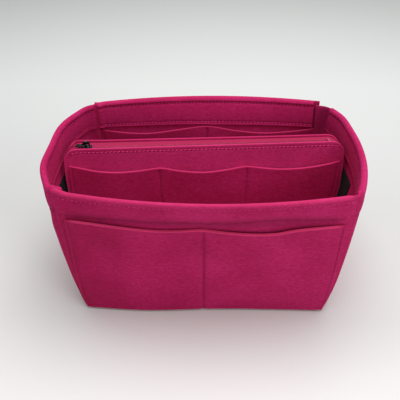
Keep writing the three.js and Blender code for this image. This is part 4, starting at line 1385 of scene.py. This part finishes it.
def addTapes():
    shift = pouchWaistHalf * math.sin(math.radians(tape["pouchTurn"]))
    wide, tall, half = tape["loopWide"], tape["tall"], tape["thick"] / 2
    y, z = np.meshgrid(stops(wide, 1.6) - wide / 2, tape["foot"] + stops(tall, 1.6), indexing="ij")
    t, step = (shift + y) / cornerHalf(z), 0.002
    for name, node, wall, turn, on in (
        ("rightLoopTape", "right_loop_tape", rightShape, asIs, "rightWall"),
        ("leftLoopTape", "left_loop_tape", leftShape, halfRound, "leftWall"),
    ):
        point = sideAt(wall, t, z)
        flat = point + turnedIn(unit(sideAt(wall, t + step, z) - point)) * (felt + gap + half)
        grid = np.concatenate([flat, z[..., None]], -1)[::-1]
        addTape(name, node, turn(grid), "basket", loopPile, on)
    wide, tall = tape["hookWide"], tall - 2 * tape["hookMargin"]
    low = tape["foot"] + tape["hookMargin"] - pouch["place"][2]
    y, z = np.meshgrid(stops(wide, 1.0) - wide / 2, low + stops(tall, 1.5), indexing="ij")
    hooks = (("rightHookTape", "pouch_right_hook_tape", 1), ("leftHookTape", "pouch_left_hook_tape", -1))
    for name, node, side in hooks:
        grid = np.stack([side * (pouchSide(z) - pouch["inset"] + gap + half), y, z], -1)[::side]
        addTape(name, node, inPouch(grid), "pouch", hookPile, "pouchGusset")


tapePile = pileTree()
addTapes()
print("hook-and-loop tape ready")


# sewing thread, one piece for each body
sewing = {
    "pitch": 0.0041, "length": 0.0028, "thread": 0.00038, "hole": 0.0009, "slant": 0.24, "wobble": 0.06,
    "holeShape": (1.25, 0.55, 0.3),
}
stitches = stitchTree()
for body, name in (("basket", "basketThread"), ("pouch", "pouchThread")):
    mesh = grow(name, rowsMesh(name, stitchRows[body]), stitches, sewing)
    addPiece(name, None, mesh, body)
    print(name, "ready:", len(mesh.polygons), "faces")


# camera, where the photograph was taken from
view = {
    "place": (0.004149, -0.353218, 0.371949), "down": 38.867, "turn": 1.683, "roll": -0.251, "lens": 37.406,
}


def addCamera():
    down, turn, roll = (math.radians(view[k]) for k in ("down", "turn", "roll"))
    forward = Vector((-math.sin(turn) * math.cos(down), math.cos(turn) * math.cos(down), -math.sin(down)))
    right = Vector((math.cos(turn), math.sin(turn), 0))
    up = right.cross(forward)
    right, up = right * math.cos(roll) + up * math.sin(roll), up * math.cos(roll) - right * math.sin(roll)
    camera = bpy.data.objects.new("photoCamera", bpy.data.cameras.new("photoCamera"))
    camera.data.lens, camera.data.sensor_width, camera.data.clip_start = view["lens"], 36.0, 0.01
    turned = Matrix((right, up, -forward)).transposed()
    camera.matrix_world = Matrix.Translation(view["place"]) @ turned.to_4x4()
    bpy.context.scene.collection.objects.link(camera)
    bpy.context.scene.camera = camera


# the floor's colours lie along Y, in metres, as painted light and shade: paler in front and far behind,
# darker round the basket; lamps are (name, place, size, watts)
studio = {
    "floor": [(-0.2, (0.9, 0.9, 0.893)), (-0.09, (0.74, 0.745, 0.738)), (0.08, (0.7, 0.712, 0.704)),
              (0.5, (0.85, 0.872, 0.862))],
    "floorHalf": 7.0, "sky": 0.3, "skyColour": (1.0, 0.99, 0.985, 1), "backdrop": (0.8, 0.815, 0.81, 1),
    "lamps": [("ceilingSoftbox", (0.1, 0.05, 1.5), 1.2, 20.0), ("frontSoftbox", (0.95, -0.9, 0.9), 0.5, 3.2)],
    "aim": (0, 0, 0.1),
}


def addFloor():
    mesh, far = bpy.data.meshes.new("floor"), studio["floorHalf"]
    mesh.from_pydata([(-far, -far, 0), (far, -far, 0), (far, far, 0), (-far, far, 0)], [], [(0, 1, 2, 3)])
    floor = bpy.data.objects.new("floor", mesh)
    bpy.context.scene.collection.objects.link(floor)
    material, tree, shader, flat, space = newMaterial("paleFloor")
    # painted light and shade: the floor is paler in front and far behind, darker round the basket
    place = addNode(tree, "ShaderNodeSeparateXYZ", Vector=space)
    along = mathNode(tree, "ADD", place.outputs["Y"], 0.5)
    colours = [(y + 0.5, colour) for y, colour in studio["floor"]]
    finishShader(tree, shader, rampNode(tree, along, *colours), 0.75, 0.2)
    mesh.materials.append(material)


def addLight():
    world = bpy.data.worlds.new("softRoom")
    bpy.context.scene.world = world
    world.use_nodes = True
    tree = world.node_tree
    light = tree.nodes["Background"]
    light.inputs["Color"].default_value = studio["skyColour"]
    light.inputs["Strength"].default_value = studio["sky"]
    seen = addNode(tree, "ShaderNodeBackground", Color=studio["backdrop"])
    rays = tree.nodes.new("ShaderNodeLightPath").outputs
    either = mathNode(tree, "MAXIMUM", rays["Is Camera Ray"], rays["Is Glossy Ray"])
    either = mathNode(tree, "MAXIMUM", either, rays["Is Transmission Ray"])
    chosen = tree.nodes.new("ShaderNodeMixShader")
    shaders = light.outputs["Background"], seen.outputs["Background"]
    for socket, value in zip(chosen.inputs, (either, *shaders)):
        tree.links.new(value, socket)
    tree.links.new(chosen.outputs["Shader"], tree.nodes["World Output"].inputs["Surface"])
    for name, place, size, power in studio["lamps"]:
        lamp = bpy.data.objects.new(name, bpy.data.lights.new(name, "AREA"))
        lamp.data.shape, lamp.data.size, lamp.data.energy = "SQUARE", size, power
        lamp.location = place
        lamp.rotation_euler = (Vector(studio["aim"]) - lamp.location).to_track_quat("-Z", "Y").to_euler()
        bpy.context.scene.collection.objects.link(lamp)


addCamera()
addFloor()
addLight()
bpy.context.scene.view_settings.view_transform = "Standard"
print("camera, floor and light ready")
